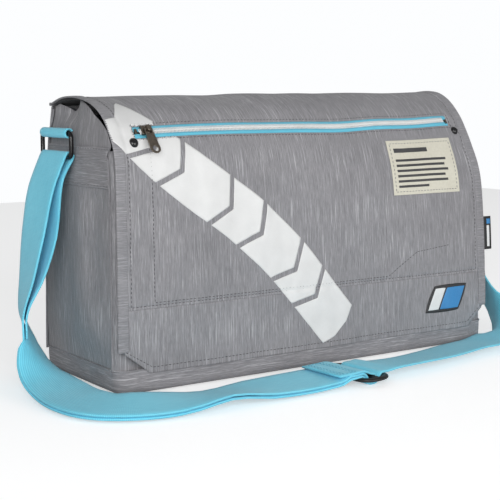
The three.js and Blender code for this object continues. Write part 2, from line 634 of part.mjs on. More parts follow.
function webbingPath() {
  const path = [];
  const atAdjuster = ([along, lift]) => path.push(besideStrap(ADJUSTER_AT, lift, along));
  SEWN_TAIL.forEach(atAdjuster);
  const turnSteps = 8;
  for (let i = 0; i <= turnSteps; i += 1) {
    const angle = lerp(Math.PI / 2, -Math.PI / 2, i / turnSteps);
    atAdjuster([SEWN_TURN.along * Math.cos(angle), BAR_LIFT + SEWN_TURN.lift * Math.sin(angle)]);
  }
  SEWN_RETURN.forEach(atAdjuster);
  for (let index = THREAD_FROM; index > CLEAR_OF_RING; index -= ROUTE_STEP) {
    path.push(besideStrap(index, spread(index, 0)));
  }
  path.push(...roundBar(0, BAR_CLEAR, 0, Math.PI, -1));
  for (let index = ROUTE_STEP; index < THREAD_FROM; index += ROUTE_STEP) {
    path.push(besideStrap(index, -spread(index, 0)));
  }
  THREADED.forEach(atAdjuster);
  for (let index = THREAD_TO; index < ROUTE_LAST - CLEAR_OF_RING; index += ROUTE_STEP) {
    const parted = Math.min(1, Math.max(0, (index - ROUTE_LAST + PARTING.before) / PARTING.over));
    path.push(besideStrap(index, -lerp(0, spread(index, ROUTE_LAST), parted)));
  }
  path.push(...roundBar(ROUTE_LAST, BAR_CLEAR, Math.PI, 0, 1));
  for (let index = ROUTE_LAST - ROUTE_STEP; index > ROUTE_LAST - TURNED_BACK; index -= ROUTE_STEP) {
    path.push(besideStrap(index, spread(index, ROUTE_LAST)));
  }
  return path;
}

function buildStrap() {
  const path = webbingPath();
  const last = path.length - 1;
  const points = path.map(({ point }) => point);
  const webbing = slab(last, 1, (u, v, w) => {
    const i = Math.round(u * last);
    const tangent = points[Math.min(i + 1, last)].clone().sub(points[Math.max(i - 1, 0)]).normalize();
    const across = path[i].across.clone().addScaledVector(tangent, -path[i].across.dot(tangent)).normalize();
    const thick = new THREE.Vector3().crossVectors(tangent, across);
    return points[i]
      .clone()
      .addScaledVector(across, (v - 0.5) * WEBBING_WIDTH)
      .addScaledVector(thick, (w - 0.5) * WEBBING);
  });
  add("strap_webbing", webbing, WEBBING_BLUE);
}

// A two-slot slide: side bars over the webbing, the sewn end round the middle bar.
function buildAdjuster() {
  const { point, tangent, across, inward } = strapFrame(ADJUSTER_AT);
  const [halfLength, halfWidth, bar, thickness] = [17, 31, 5, 2.4];
  const outline = roundedRectangle(halfLength, halfWidth, 6);
  const plate = flatPlate(outline, BAR_LIFT - thickness / 2, BAR_LIFT + thickness / 2);
  const slotNear = bar / 2;
  const slotFar = halfLength - bar;
  const reach = halfWidth - bar;
  let frame = solid(plate);
  for (const sign of [-1, 1]) {
    const [x0, x1] = [sign * slotNear, sign * slotFar].sort((a, b) => a - b);
    frame = frame.subtract(solid(block(x0, x1, -reach, reach, -20, 20)));
  }
  const placed = geometryOf(frame);
  placed.applyMatrix4(new THREE.Matrix4().makeBasis(tangent, across, inward).setPosition(point));
  add("strap_adjuster", placed, BLACK_PLASTIC);
}

buildBody();
buildLining();
buildInnerPocket();
buildFasteners();
buildFlap();
buildZip();
buildSlider();
buildPuller();
buildMarks();
for (const [side, sign] of [["left", -1], ["right", 1]]) buildRingAndTab(side, sign);
buildStrap();
buildAdjuster();

export default bag;
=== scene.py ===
import json
import math

import bmesh
import bpy
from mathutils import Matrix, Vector, noise

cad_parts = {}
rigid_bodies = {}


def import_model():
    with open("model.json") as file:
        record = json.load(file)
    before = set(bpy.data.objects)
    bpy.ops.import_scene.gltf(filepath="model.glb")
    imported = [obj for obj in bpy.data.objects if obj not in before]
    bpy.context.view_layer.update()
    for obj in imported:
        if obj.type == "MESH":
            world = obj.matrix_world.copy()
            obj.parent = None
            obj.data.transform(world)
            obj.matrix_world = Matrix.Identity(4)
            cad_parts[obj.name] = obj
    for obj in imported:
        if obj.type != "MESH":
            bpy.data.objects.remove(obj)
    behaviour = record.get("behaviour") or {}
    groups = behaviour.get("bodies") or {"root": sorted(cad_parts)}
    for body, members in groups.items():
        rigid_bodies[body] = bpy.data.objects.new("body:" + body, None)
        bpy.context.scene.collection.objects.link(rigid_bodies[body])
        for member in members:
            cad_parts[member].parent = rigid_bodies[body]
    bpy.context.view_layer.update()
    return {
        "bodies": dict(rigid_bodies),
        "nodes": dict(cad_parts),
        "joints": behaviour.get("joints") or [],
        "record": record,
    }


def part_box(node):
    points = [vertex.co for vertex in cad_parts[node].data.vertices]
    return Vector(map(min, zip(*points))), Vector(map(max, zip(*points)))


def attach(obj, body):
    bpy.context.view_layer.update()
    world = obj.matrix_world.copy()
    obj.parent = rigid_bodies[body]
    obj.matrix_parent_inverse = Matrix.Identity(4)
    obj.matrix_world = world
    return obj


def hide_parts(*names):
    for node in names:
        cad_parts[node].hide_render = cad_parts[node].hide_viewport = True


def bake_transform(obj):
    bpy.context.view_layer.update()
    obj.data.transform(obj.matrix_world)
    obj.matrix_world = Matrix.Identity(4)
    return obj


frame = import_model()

# Geometry below is worked out in millimetres, in the frame of the CAD, and is scaled when a mesh is made.
MM = 0.001
nodes = frame["nodes"]


def node_box(name):
    low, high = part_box(name)
    return Vector(low) / MM, Vector(high) / MM


def lerp(a, b, t):
    return a + (b - a) * t


def clamp(value, low=0.0, high=1.0):
    return max(low, min(high, value))


def smooth(t):
    t = clamp(t)
    return t * t * (3 - 2 * t)


def bump(distance, width):
    """1 at distance 0, falling to 0 like a bell."""
    return math.exp(-((distance / width) ** 2))


def wave_noise(x, y, seed=0.0):
    return noise.noise(Vector((x, y, seed * 13.7)))


# ---- camera, lights, floor ----
CAMERA_AT = Vector((-0.668, -0.9245, 0.247))
CAMERA_YAW = 34.6
CAMERA_PITCH = 7.3
CAMERA_LENS = 86.4


def make_camera():
    data = bpy.data.cameras.new("camera")
    data.sensor_width = 36
    data.lens = CAMERA_LENS
    camera = bpy.data.objects.new("camera", data)
    camera.location = CAMERA_AT
    camera.rotation_euler = (math.radians(90 - CAMERA_PITCH), 0, -math.radians(CAMERA_YAW))
    bpy.context.scene.collection.objects.link(camera)
    bpy.context.scene.camera = camera


def area_light(name, location, target, size, power):
    data = bpy.data.lights.new(name, "AREA")
    data.shape = "RECTANGLE"
    data.size = size[0]
    data.size_y = size[1]
    data.energy = power
    light = bpy.data.objects.new(name, data)
    light.location = location
    light.rotation_euler = (Vector(target) - Vector(location)).to_track_quat("-Z", "Y").to_euler()
    bpy.context.scene.collection.objects.link(light)


WORLD_LIGHT = 0.32  # what the surroundings shine on the object; they look white themselves
FLOOR_GLOW = 0.45  # makes the floor look white without lighting the object
FLOOR_HALF = 1.7
FLOOR_GREY = 0.86


def when_seen(tree, otherwise, seen):
    """A value that is `seen` for the camera's own rays, and `otherwise` for reflected light."""
    rays = tree.nodes.new("ShaderNodeLightPath")
    value = tree.nodes.new("ShaderNodeMapRange")
    value.inputs["To Min"].default_value = otherwise
    value.inputs["To Max"].default_value = seen
    tree.links.new(rays.outputs["Is Camera Ray"], value.inputs["Value"])
    return value.outputs["Result"]


def make_world():
    world = bpy.data.worlds.new("studio")
    world.use_nodes = True
    tree = world.node_tree
    background = tree.nodes["Background"]
    background.inputs["Color"].default_value = (0.98, 0.99, 1.0, 1)
    tree.links.new(when_seen(tree, WORLD_LIGHT, 1.0), background.inputs["Strength"])
    bpy.context.scene.world = world
    bpy.context.scene.view_settings.view_transform = "Standard"


def make_floor():
    mesh = bpy.data.meshes.new("floor")
    corners = [(x * FLOOR_HALF, y * FLOOR_HALF, 0) for x, y in ((-1, -1), (1, -1), (1, 1), (-1, 1))]
    mesh.from_pydata(corners, [], [(0, 1, 2, 3)])
    floor = bpy.data.objects.new("floor", mesh)
    bpy.context.scene.collection.objects.link(floor)
    material = bpy.data.materials.new("floor")
    material.use_nodes = True
    tree = material.node_tree
    shader = tree.nodes["Principled BSDF"]
    shader.inputs["Base Color"].default_value = (FLOOR_GREY, FLOOR_GREY, FLOOR_GREY, 1)
    shader.inputs["Roughness"].default_value = 0.8
    shader.inputs["Emission Color"].default_value = (1, 1, 1, 1)
    tree.links.new(when_seen(tree, 0.0, FLOOR_GLOW), shader.inputs["Emission Strength"])
    mesh.materials.append(material)


def make_studio():
    area_light("key", (-1.5, -2.1, 0.75), (0, 0, 0.1), (1.5, 1.2), 44)
    area_light("fill", (0.7, -2.3, 0.6), (0, 0, 0.12), (1.4, 1.1), 20)
    area_light("top", (0.1, 0.2, 2.0), (0, 0, 0.1), (1.8, 1.4), 0.6)
    area_light("back", (0.6, 2.2, 1.2), (0, 0, 0.1), (1.6, 1.0), 1.2)
    make_world()
    make_floor()


# ---- materials ----
WAVE_UNIT = 2 * math.pi / 20  # a wave texture of scale 1 repeats at this distance


class Shader:
    """A node material; its pattern nodes read the cloth coordinates (metres along and across the weave)."""

    def __init__(self, name, roughness, metallic=0.0, sheen=0.0, specular=0.5):
        self.material = bpy.data.materials.new(name)
        self.material.use_nodes = True
        self.tree = self.material.node_tree
        self.bsdf = self.tree.nodes["Principled BSDF"]
        self.set("Roughness", roughness)
        self.set("Metallic", metallic)
        self.set("Sheen Weight", sheen)
        self.set("Specular IOR Level", specular)

    def set(self, socket, value):
        self.bsdf.inputs[socket].default_value = value

    def node(self, kind, **values):
        made = self.tree.nodes.new(kind)
        for key, value in values.items():
            setattr(made, key, value)
        return made

    def link(self, source, target):
        self.tree.links.new(source, target)

    def coordinates(self, scale, offset=(0, 0, 0), source="cloth"):
        if source == "cloth":
            start = self.node("ShaderNodeAttribute", attribute_name="cloth").outputs["Vector"]
        else:
            start = self.node("ShaderNodeTexCoord").outputs["Object"]
        mapping = self.node("ShaderNodeMapping")
        mapping.inputs["Scale"].default_value = scale
        mapping.inputs["Location"].default_value = offset
        self.link(start, mapping.inputs["Vector"])
        return mapping.outputs["Vector"]

    def noise(self, scale, detail=2.0, roughness=0.5, offset=(0, 0, 0), source="cloth"):
        made = self.node("ShaderNodeTexNoise")
        made.inputs["Scale"].default_value = 1
        made.inputs["Detail"].default_value = detail
        made.inputs["Roughness"].default_value = roughness
        self.link(self.coordinates(scale, offset, source), made.inputs["Vector"])
        return made.outputs["Fac"]

    def stripes(self, pitch, direction="X"):
        """Parallel ridges, one per pitch (in metres)."""
        made = self.node("ShaderNodeTexWave", bands_direction=direction)
        made.inputs["Scale"].default_value = WAVE_UNIT / pitch
        made.inputs["Distortion"].default_value = 0
        self.link(self.coordinates((1, 1, 1)), made.inputs["Vector"])
        return made.outputs["Fac"]

    def math(self, operation, a, b):
        made = self.node("ShaderNodeMath", operation=operation)
        for socket, value in zip(made.inputs, (a, b)):
            if isinstance(value, (int, float)):
                socket.default_value = value
            else:
                self.link(value, socket)
        return made.outputs[0]

    def mixed(self, parts):
        """A weighted sum of values."""
        total = None
        for value, weight in parts:
            term = self.math("MULTIPLY", value, weight)
            total = term if total is None else self.math("ADD", total, term)
        return total

    def ramp(self, value, stops):
        made = self.node("ShaderNodeValToRGB")
        elements = made.color_ramp.elements
        while len(elements) < len(stops):
            elements.new(0.5)
        for element, (position, color) in zip(elements, stops):
            element.position = position
            element.color = (*color, 1)
        self.link(value, made.inputs["Fac"])
        return made.outputs["Color"]

    def color(self, output):
        self.link(output, self.bsdf.inputs["Base Color"])

    def relief(self, height, strength, distance):
        made = self.node("ShaderNodeBump")
        made.inputs["Strength"].default_value = strength
        made.inputs["Distance"].default_value = distance
        self.link(height, made.inputs["Height"])
        self.link(made.outputs["Normal"], self.bsdf.inputs["Normal"])

    def gloss(self, value, low, high):
        spread = self.node("ShaderNodeMapRange")
        spread.inputs["To Min"].default_value = low
        spread.inputs["To Max"].default_value = high
        self.link(value, spread.inputs["Value"])
        self.link(spread.outputs["Result"], self.bsdf.inputs["Roughness"])


GREY = (0.235, 0.231, 0.243)  # the middle tone of the melange


def melange(name, dark, light, along="Y"):
    """Grey yarn-dyed cloth: fine light and dark streaks that run along the warp, over a plain weave."""
    made = Shader(name, roughness=0.9, sheen=0.12, specular=0.2)
    made.set("Sheen Roughness", 0.5)

    def stretched(across, length):
        return (across, length, 1) if along == "Y" else (length, across, 1)

    fine = made.noise(stretched(3000, 130), detail=2, roughness=0.7)
    medium = made.noise(stretched(1500, 40), detail=2, offset=(3, 1, 0))
    slub = made.noise(stretched(900, 24), detail=2, offset=(9, 5, 0))
    broad = made.noise((12, 8, 1), detail=2, offset=(1, 7, 0))
    rare = made.ramp(slub, [(0.57, (0, 0, 0)), (0.72, (1, 1, 1))])
    tone = made.mixed([(fine, 0.55), (medium, 0.5), (broad, 0.12), (rare, 0.22)])
    made.color(made.ramp(tone, [(0.34, dark), (0.6, GREY), (0.95, light)]))
    weave = [(made.stripes(0.0008, "X"), 0.5), (made.stripes(0.0008, "Y"), 0.5), (fine, 0.7)]
    folds = made.noise((11, 7, 1), detail=2, roughness=0.4, offset=(2, 6, 0))
    made.relief(made.mixed(weave + [(folds, 220)]), 0.4, 0.0003)
    made.gloss(medium, 0.82, 0.96)
    return made.material


def webbing_cloth(name, dark, light, rib=0.0011, wale=0.0021):
    """Woven webbing: fine ribs across the width, firmer wales along it."""
    made = Shader(name, roughness=0.6, sheen=0.2, specular=0.3)
    ribs = made.stripes(rib, "X")
    wales = made.stripes(wale, "Y")
    uneven = made.noise((90, 700, 1), detail=3)
    broad = made.noise((18, 30, 1), detail=2, offset=(4, 2, 0))
    tone = made.mixed([(ribs, 0.14), (wales, 0.3), (uneven, 0.36), (broad, 0.26)])
    made.color(made.ramp(tone, [(0.22, dark), (0.8, light)]))
    made.relief(made.mixed([(ribs, 0.4), (wales, 0.7), (uneven, 0.3)]), 0.6, 0.0004)
    made.gloss(uneven, 0.5, 0.72)
    return made.material


def plain_weave(name, dark, light, pitch, strength=0.5):
    """Plain cloth: threads across and along, a little uneven."""
    made = Shader(name, roughness=0.85, sheen=0.1, specular=0.3)
    across = made.stripes(pitch, "X")
    along = made.stripes(pitch, "Y")
    uneven = made.noise((400, 400, 1), detail=3)
    broad = made.noise((25, 25, 1), detail=2, offset=(5, 5, 0))
    tone = made.mixed([(across, 0.2), (along, 0.2), (uneven, 0.35), (broad, 0.3)])
    made.color(made.ramp(tone, [(0.3, dark), (0.75, light)]))
    made.relief(made.mixed([(across, 0.5), (along, 0.5), (uneven, 0.4)]), strength, 0.0003)
    made.gloss(uneven, 0.77, 0.93)
    return made.material


def moulded(name, dark, light, roughness, metallic=0.0, grain=900):
    """Metal, plastic and rubber: a fine grain with slight changes of tone and gloss."""
    made = Shader(name, roughness=roughness, metallic=metallic)
    fine = made.noise((grain, grain, grain), detail=3, source="object")
    broad = made.noise((60, 60, 60), detail=3, source="object")
    tone = made.mixed([(fine, 0.4), (broad, 0.6)])
    made.color(made.ramp(tone, [(0.3, dark), (0.7, light)]))
    made.relief(fine, 0.15, 0.0001)
    made.gloss(broad, roughness * 0.75, min(1, roughness * 1.3))
    return made.material


THREAD_WEAVE = {"rib": 0.0006, "wale": 0.0006}
FINISHES = (
    (melange, {
        "fabric_grey": ((0.125, 0.123, 0.132), (0.5, 0.495, 0.512), {}),
        "band_grey": ((0.13, 0.128, 0.142), (0.48, 0.475, 0.495), {"along": "X"}),
    }),
    (plain_weave, {
        "lining": ((0.012, 0.013, 0.016), (0.04, 0.042, 0.05), {"pitch": 0.0007}),
        "foam": ((0.6, 0.58, 0.5), (0.75, 0.73, 0.66), {"pitch": 0.002}),
        "label_cotton": ((0.5, 0.475, 0.39), (0.66, 0.64, 0.55), {"pitch": 0.0008}),
        "hook_loop": ((0.008, 0.008, 0.009), (0.035, 0.035, 0.038), {"pitch": 0.0015, "strength": 0.9}),
    }),
    (webbing_cloth, {
        "webbing": ((0.09, 0.52, 0.71), (0.25, 0.77, 0.94), {}),
        "zip_tape": ((0.07, 0.4, 0.56), (0.16, 0.58, 0.74), {"rib": 0.0007, "wale": 0.0009}),
        "thread": ((0.09, 0.09, 0.1), (0.17, 0.17, 0.19), THREAD_WEAVE),
        "thread_dark": ((0.02, 0.02, 0.024), (0.05, 0.05, 0.056), THREAD_WEAVE),
    }),
    (moulded, {
        "board": ((0.03, 0.03, 0.032), (0.06, 0.06, 0.062), {"roughness": 0.6}),
        "zip_coil": ((0.68, 0.68, 0.67), (0.8, 0.8, 0.79), {"roughness": 0.45}),
        "gunmetal": ((0.13, 0.11, 0.09), (0.32, 0.27, 0.22), {"roughness": 0.3, "metallic": 1.0}),
        "black_metal": ((0.003, 0.003, 0.0035), (0.009, 0.009, 0.01), {"roughness": 0.2}),
        "black_plastic": ((0.004, 0.004, 0.0045), (0.012, 0.012, 0.013), {"roughness": 0.38}),
        "badge_rubber": ((0.025, 0.17, 0.4), (0.045, 0.24, 0.5), {"roughness": 0.5}),
        "badge_black": ((0.012, 0.012, 0.013), (0.03, 0.03, 0.032), {"roughness": 0.55}),
        "badge_white": ((0.6, 0.61, 0.61), (0.7, 0.71, 0.71), {"roughness": 0.5}),
        "print_white": ((0.6, 0.6, 0.595), (0.68, 0.68, 0.675), {"roughness": 0.45, "grain": 2500}),
    }),
)


def make_materials():
    for finish, named in FINISHES:
        for name, (dark, light, facts) in named.items():
            materials[name] = finish(name, dark, light, **facts)


MATERIAL_SLOT = {"badge_white": "badge_rubber", "badge_black": "badge_rubber", "thread_dark": "thread"}
BOTH = "both"  # for cloth that crosses the ridge, where the flap folds
materials = {}


# ---- mesh helpers ----


def place_mesh(name, mesh, body, material, stands_for=()):
    """Makes a piece of a mesh, rides it on its body and gives it its finish."""
    piece = bpy.data.objects.new(name, mesh)
    bpy.context.scene.collection.objects.link(piece)
    mesh.materials.append(materials[material])
    if body == BOTH:
        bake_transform(piece)
    else:
        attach(piece, body)
    if stands_for:
        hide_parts(*stands_for)
    MATERIAL_SLOT.get(material, material)
    return piece


def finish_piece(name, vertices, faces, body, material, cloth=None, stands_for=()):
    """Makes a smooth piece from millimetre vertices; cloth holds each vertex's place in the weave."""
    mesh = bpy.data.meshes.new(name)
    mesh.from_pydata([tuple(c * MM for c in v) for v in vertices], [], faces)
    mesh.validate()
    mesh.polygons.foreach_set("use_smooth", [True] * len(mesh.polygons))
    if cloth:
        values = mesh.attributes.new("cloth", "FLOAT_VECTOR", "POINT")
        values.data.foreach_set("vector", [c * MM for v in cloth for c in v])
    return place_mesh(name, mesh, body, material, stands_for)


def recloth(piece, rule):
    """Rewrites the places in the weave, in metres: rule gets a vertex's point and its old place."""
    for vertex, value in zip(piece.data.vertices, piece.data.attributes["cloth"].data):
        u, v = rule(vertex.co, value.vector)
        value.vector = (u, v, value.vector[2])


def hung_facing_front(point, _):
    return point.x, -point.z


def hung_facing_side(point, _):
    return point.y, -point.z


def tube_faces(first, rings, sides, flipped=False, closed=False, capped=True):
    """Faces of a tube: rings of vertices that follow each other from the number first."""
    faces = []
    for k in range(rings if closed else rings - 1):
        a, b = first + k * sides, first + (k + 1) % rings * sides
        for i in range(sides):
            j = (i + 1) % sides
            faces.append((a + i, b + i, b + j, a + j))
    if capped:
        last = first + (rings - 1) * sides
        faces.append(tuple(range(first, first + sides)))
        faces.append(tuple(reversed(range(last, last + sides))))
    return [face[::-1] for face in faces] if flipped else faces


def circle(radius, sides):
    """Corners of a circle, as (cosine, sine) pairs times the radius."""
    angles = [2 * math.pi * i / sides for i in range(sides)]
    return [(radius * math.cos(angle), radius * math.sin(angle)) for angle in angles]


ROLL = (0.0, 0.35, 0.9, 1.8)  # grid steps at an edge that is rolled over
RIM_TUCK, NEXT_TUCK = 0.46, 0.16  # how far a sheet's rim, and the row beside it, are drawn in
BACK_OF_CLOTH = 50.0  # keeps the pattern of a sheet's back apart from its front's
OTHER_FACE = 40  # the same for the underside of a swept piece


def lines(start, end, step, also=()):
    """Grid values from start to end, closer together at both ends so that an edge can be rolled over."""
    values = {start + r for r in ROLL} | {end - r for r in ROLL} | set(also)
    count = max(1, round((end - start) / step))
    values |= {lerp(start, end, i / count) for i in range(1, count)}
    ordered = sorted(values)
    kept = [ordered[0]]
    for value in ordered[1:]:
        if value - kept[-1] > 0.2:
            kept.append(value)
    return kept


def sheet_piece(name, body, material, us, vs, surface, thickness, skip=None, closed=False, **facts):
    """A cloth layer on a grid. surface(u, v, height) gives a point; its open edges are rolled over."""
    wide, tall = len(us), len(vs)
    kept = []
    for i in range(wide if closed else wide - 1):
        for j in range(tall - 1):
            u_mid = us[i] if closed else (us[i] + us[i + 1]) / 2
            if skip and skip(u_mid, (vs[j] + vs[j + 1]) / 2):
                continue
            kept.append((i, j))

    def corner(i, j):
        return (i % wide if closed else i, j)

    edges = {}
    for i, j in kept:
        ring = ((i, j), (i + 1, j), (i + 1, j + 1), (i, j + 1))
        for a, b in zip(ring, ring[1:] + ring[:1]):
            edges[(corner(*a), corner(*b))] = True
    walls = [edge for edge in edges if (edge[1], edge[0]) not in edges]
    tucks = {c: RIM_TUCK for edge in walls for c in edge}
    for i, j in list(tucks):
        for di, dj in ((1, 0), (-1, 0), (0, 1), (0, -1)):
            tucks.setdefault(corner(i + di, j + dj), NEXT_TUCK)
    index, vertices, cloth = {}, [], []
    used = sorted({c for edge in edges for c in edge})
    for side in (0, 1):
        for i, j in used:
            tuck = tucks.get((i, j), 0.0) * thickness
            height = -tuck if side == 0 else -thickness + tuck
            index[(side, i, j)] = len(vertices)
            vertices.append(surface(us[i], vs[j], height))
            cloth.append((us[i], vs[j], side * BACK_OF_CLOTH))
    faces = []
    for i, j in kept:
        ring = [corner(i, j), corner(i, j + 1), corner(i + 1, j + 1), corner(i + 1, j)]
        faces.append([index[(0, *c)] for c in ring])
        faces.append([index[(1, *c)] for c in reversed(ring)])
    for a, b in walls:
        faces.append([index[(0, *a)], index[(0, *b)], index[(1, *b)], index[(1, *a)]])
    return finish_piece(name, vertices, faces, body, material, cloth, **facts)


def swept(name, body, material, frames, section, closed_ends=True, **facts):
    """Sweeps a closed section ((a, b) pairs) along frames of (point, side, up)."""
    vertices, cloth = [], []
    travelled = 0.0
    for k, (point, side, up) in enumerate(frames):
        if k:
            travelled += (point - frames[k - 1][0]).length
        for a, b in section:
            vertices.append(point + side * a + up * b)
            cloth.append((travelled, a + (OTHER_FACE if b < 0 else 0), 0))
    faces = tube_faces(0, len(frames), len(section), capped=closed_ends)
    return finish_piece(name, vertices, faces, body, material, cloth, **facts)


def round_section(radius, sides=10):
    return [(a, -b) for a, b in circle(radius, sides)]


# ---- the flap's surface ----
HALF = 210.0
HINGE_Y, HINGE_Z = 50.0, 240.0
LEFT_PROFILE = [
    (HINGE_Y, HINGE_Z), (27, 246), (2, 247.5), (-24, 243), (-44, 233), (-59, 218),
    (-68.5, 199), (-71.5, 168), (-72, 120), (-72, 72), (-72, 18),
]
RIGHT_PROFILE = [
    (HINGE_Y, HINGE_Z), (30, 250), (8, 251), (-8, 246), (-22, 236), (-34, 222),
    (-47, 199), (-60, 168), (-67, 120), (-70.5, 72), (-72, 18),
]
FOLD, ZIP, SEAM, HEM = 2, 5, 9, 10
FABRIC = 1.2
SIDE_STITCH = 13.0  # from the flap's side to the stitches along it
SEAM_STITCH = 2.6  # from the seam above the lower band to the stitches above it


def spline(points, station):
    """The uniform spline through the points, at a station number."""
    last = len(points) - 1
    k = int(clamp(math.floor(station), 0, last - 1))
    t = station - k
    p0, p1 = points[max(k - 1, 0)], points[k]
    p2, p3 = points[k + 1], points[min(k + 2, last)]
    made = []
    for a, b, c, d in zip(p0, p1, p2, p3):
        v0, v1 = (c - a) / 2, (d - b) / 2
        made.append((2 * b - 2 * c + v0 + v1) * t ** 3 + (-3 * b + 3 * c - 2 * v0 - v1) * t ** 2 + v0 * t + b)
    return made


def flap_line(station, x):
    left, right = spline(LEFT_PROFILE, station), spline(RIGHT_PROFILE, station)
    share = (x + HALF) / (2 * HALF)
    return lerp(left[0], right[0], share), lerp(left[1], right[1], share)


def arc_table(samples=400):
    table, total, before = [0.0], 0.0, flap_line(0, 0)
    for i in range(1, samples + 1):
        here = flap_line(HEM * i / samples, 0)
        total += math.dist(before, here)
        table.append(total)
        before = here
    return table


ARC = arc_table()


def distance_of(station):
    """Distance down the flap, from the hinge seam to a station."""
    at = station / HEM * (len(ARC) - 1)
    k = int(clamp(math.floor(at), 0, len(ARC) - 2))
    return lerp(ARC[k], ARC[k + 1], at - k)


def station_of(distance):
    low, high = 0, len(ARC) - 1
    while high - low > 1:
        middle = (low + high) // 2
        if ARC[middle] <= distance:
            low = middle
        else:
            high = middle
    return HEM / (len(ARC) - 1) * (low + (distance - ARC[low]) / (ARC[high] - ARC[low]))


S_FOLD, S_ZIP, S_SEAM, S_HEM = (distance_of(station) for station in (FOLD, ZIP, SEAM, HEM))
S_START = 1.2  # the flap starts this far from the hinge seam
S_CHAMFER = distance_of(SEAM + 0.52)


def zip_wander(x):
    """The sewn zip isn't quite straight."""
    return 0.9 * math.sin(x / 41 + 0.6) + 0.5 * math.sin(x / 17)


def ripple(x, s):
    """How far the cloth stands off its ruled shape."""
    calm = smooth(s / 40)  # it lies flat along the hinge seam
    soft = 1.5 * wave_noise(x / 95, s / 120, 1) + 0.7 * wave_noise(x / 38, s / 60, 2)
    hang = 1.0 * wave_noise(x / 26, s / 160, 3) * smooth((s - S_ZIP) / 60)
    zipped = 0.5 * math.sin(x / 14 + 1) * bump(s - S_ZIP, 13)
    seam = 0.28 * math.sin(x / 2.6 + 2 * wave_noise(x / 30, 0, 4)) * bump(s - S_SEAM + 2, 6)
    edge_left = 0.3 * math.sin(s / 3.1) * bump(x + HALF - 12, 6)
    edge_right = 0.3 * math.sin(s / 3.3 + 1) * bump(x - HALF + 12, 6)
    lift = 0.9 * bump(x + HALF, 26) * bump(s - 92, 26)
    curl = 1.2 * bump(s - S_HEM, 14) * (0.5 + wave_noise(x / 50, 9, 5))
    tight = 1 - 0.7 * bump(s - S_ZIP, 9)
    sewn = 0.55 * bump(s - S_SEAM + SEAM_STITCH, 1.0)
    sewn += 0.45 * (bump(x + HALF - SIDE_STITCH, 0.9) + bump(x - HALF + SIDE_STITCH, 0.9))
    pucker = 0.5 * smooth((s - S_ZIP) / 30) * wave_noise(x / 12, s / 45, 8)
    big = 2.2 * wave_noise(x / 130 + 4, s / 90, 9) * smooth((s - S_FOLD) / 60)
    folds = (soft + hang + pucker + big) * tight + zipped
    return calm * (folds + seam + edge_left + edge_right + lift + curl - sewn)


def flap(x, s, height=0.0):
    """A point on the flap: x along it, s down it from the hinge seam, height above its outer face."""
    s_moved = s + zip_wander(x) * bump(s - S_ZIP, 24)
    station = station_of(clamp(s_moved, 0, ARC[-1]))
    step = 0.03
    y0, z0 = flap_line(max(station - step, 0), x)
    y1, z1 = flap_line(min(station + step, HEM), x)
    y, z = flap_line(station, x)
    length = math.hypot(y1 - y0, z1 - z0)
    out_y, out_z = (z1 - z0) / length, -(y1 - y0) / length
    height += ripple(x, s)
    beyond = s_moved - ARC[-1]
    if beyond > 0:
        y += beyond * (y1 - y0) / length
        z += beyond * (z1 - z0) / length
    return Vector((x, y + out_y * height, z + out_z * height))


def flap_frame(x, s, height=0.0):
    """Point, direction along x, direction down the flap, outward normal."""
    point = flap(x, s, height)
    along = (flap(x + 1, s, height) - flap(x - 1, s, height)).normalized()
    down = (flap(x, s + 1, height) - flap(x, s - 1, height)).normalized()
    out = down.cross(along).normalized()
    return point, along, down, out


# ---- stitches ----
STITCH, STITCH_GAP = 2.7, 1.0
THREAD = 0.3
STITCH_ENDS = (0.14, 0.86)  # where a stitch starts and ends in its share of the line
STITCH_RINGS, STITCH_SIDES = 5, 6


def add_stitch(vertices, cloth, faces, start, end, out):
    """One stitch: a short thread that bows out of the cloth and dips in at both ends."""
    side = (end - start).normalized().cross(out).normalized()
    faces += tube_faces(len(vertices), STITCH_RINGS, STITCH_SIDES, flipped=True)
    for k in range(STITCH_RINGS):
        share = k / (STITCH_RINGS - 1)
        from_middle = (2 * share - 1) ** 2
        centre = start.lerp(end, share) + out * (0.14 - 0.34 * from_middle)
        for i, (a, b) in enumerate(circle(THREAD * (1 - 0.55 * from_middle), STITCH_SIDES)):
            vertices.append(centre + side * a + out * b)
            cloth.append((k * 0.6, i * 0.3, 0))


def stitch_lines(name, body, routes, place, material="thread_dark", measured=False):
    """Stitches along routes ((u0, v0), (u1, v1)) on a surface; place(u, v) gives (point, normal).

    A route's length is taken in u and v, or on the surface itself if it is to be measured.
    """
    vertices, cloth, faces = [], [], []
    for start, end in routes:
        length = (place(*start)[0] - place(*end)[0]).length if measured else math.dist(start, end)
        count = max(1, int(length / (STITCH + STITCH_GAP)))
        for k in range(count):
            shares = [(k + share) / count for share in STITCH_ENDS]
            (a, out), (b, _) = (place(lerp(start[0], end[0], t), lerp(start[1], end[1], t)) for t in shares)
            add_stitch(vertices, cloth, faces, a, b, out)
    return finish_piece(name, vertices, faces, body, material, cloth)


def on_flap(height=0.0):
    def place(x, s):
        point, _, _, out = flap_frame(x, s, height)
        return point, out
    return place


# ---- flap ----
STRIP = 10.0  # width of the strips down the flap's sides
STRIP_LIFT = 0.5
ZIP_LEFT, ZIP_RIGHT = -186.0, 186.0
SLOT_HALF = 5.9
CHAMFER_LEFT, CHAMFER_RIGHT = 30.0, 24.0
OTHER_CLOTH = 0.4  # metres: the lower band is cut from another place in the cloth


def chamfer(s):
    return max(0.0, (s - S_CHAMFER) / (S_HEM - S_CHAMFER))


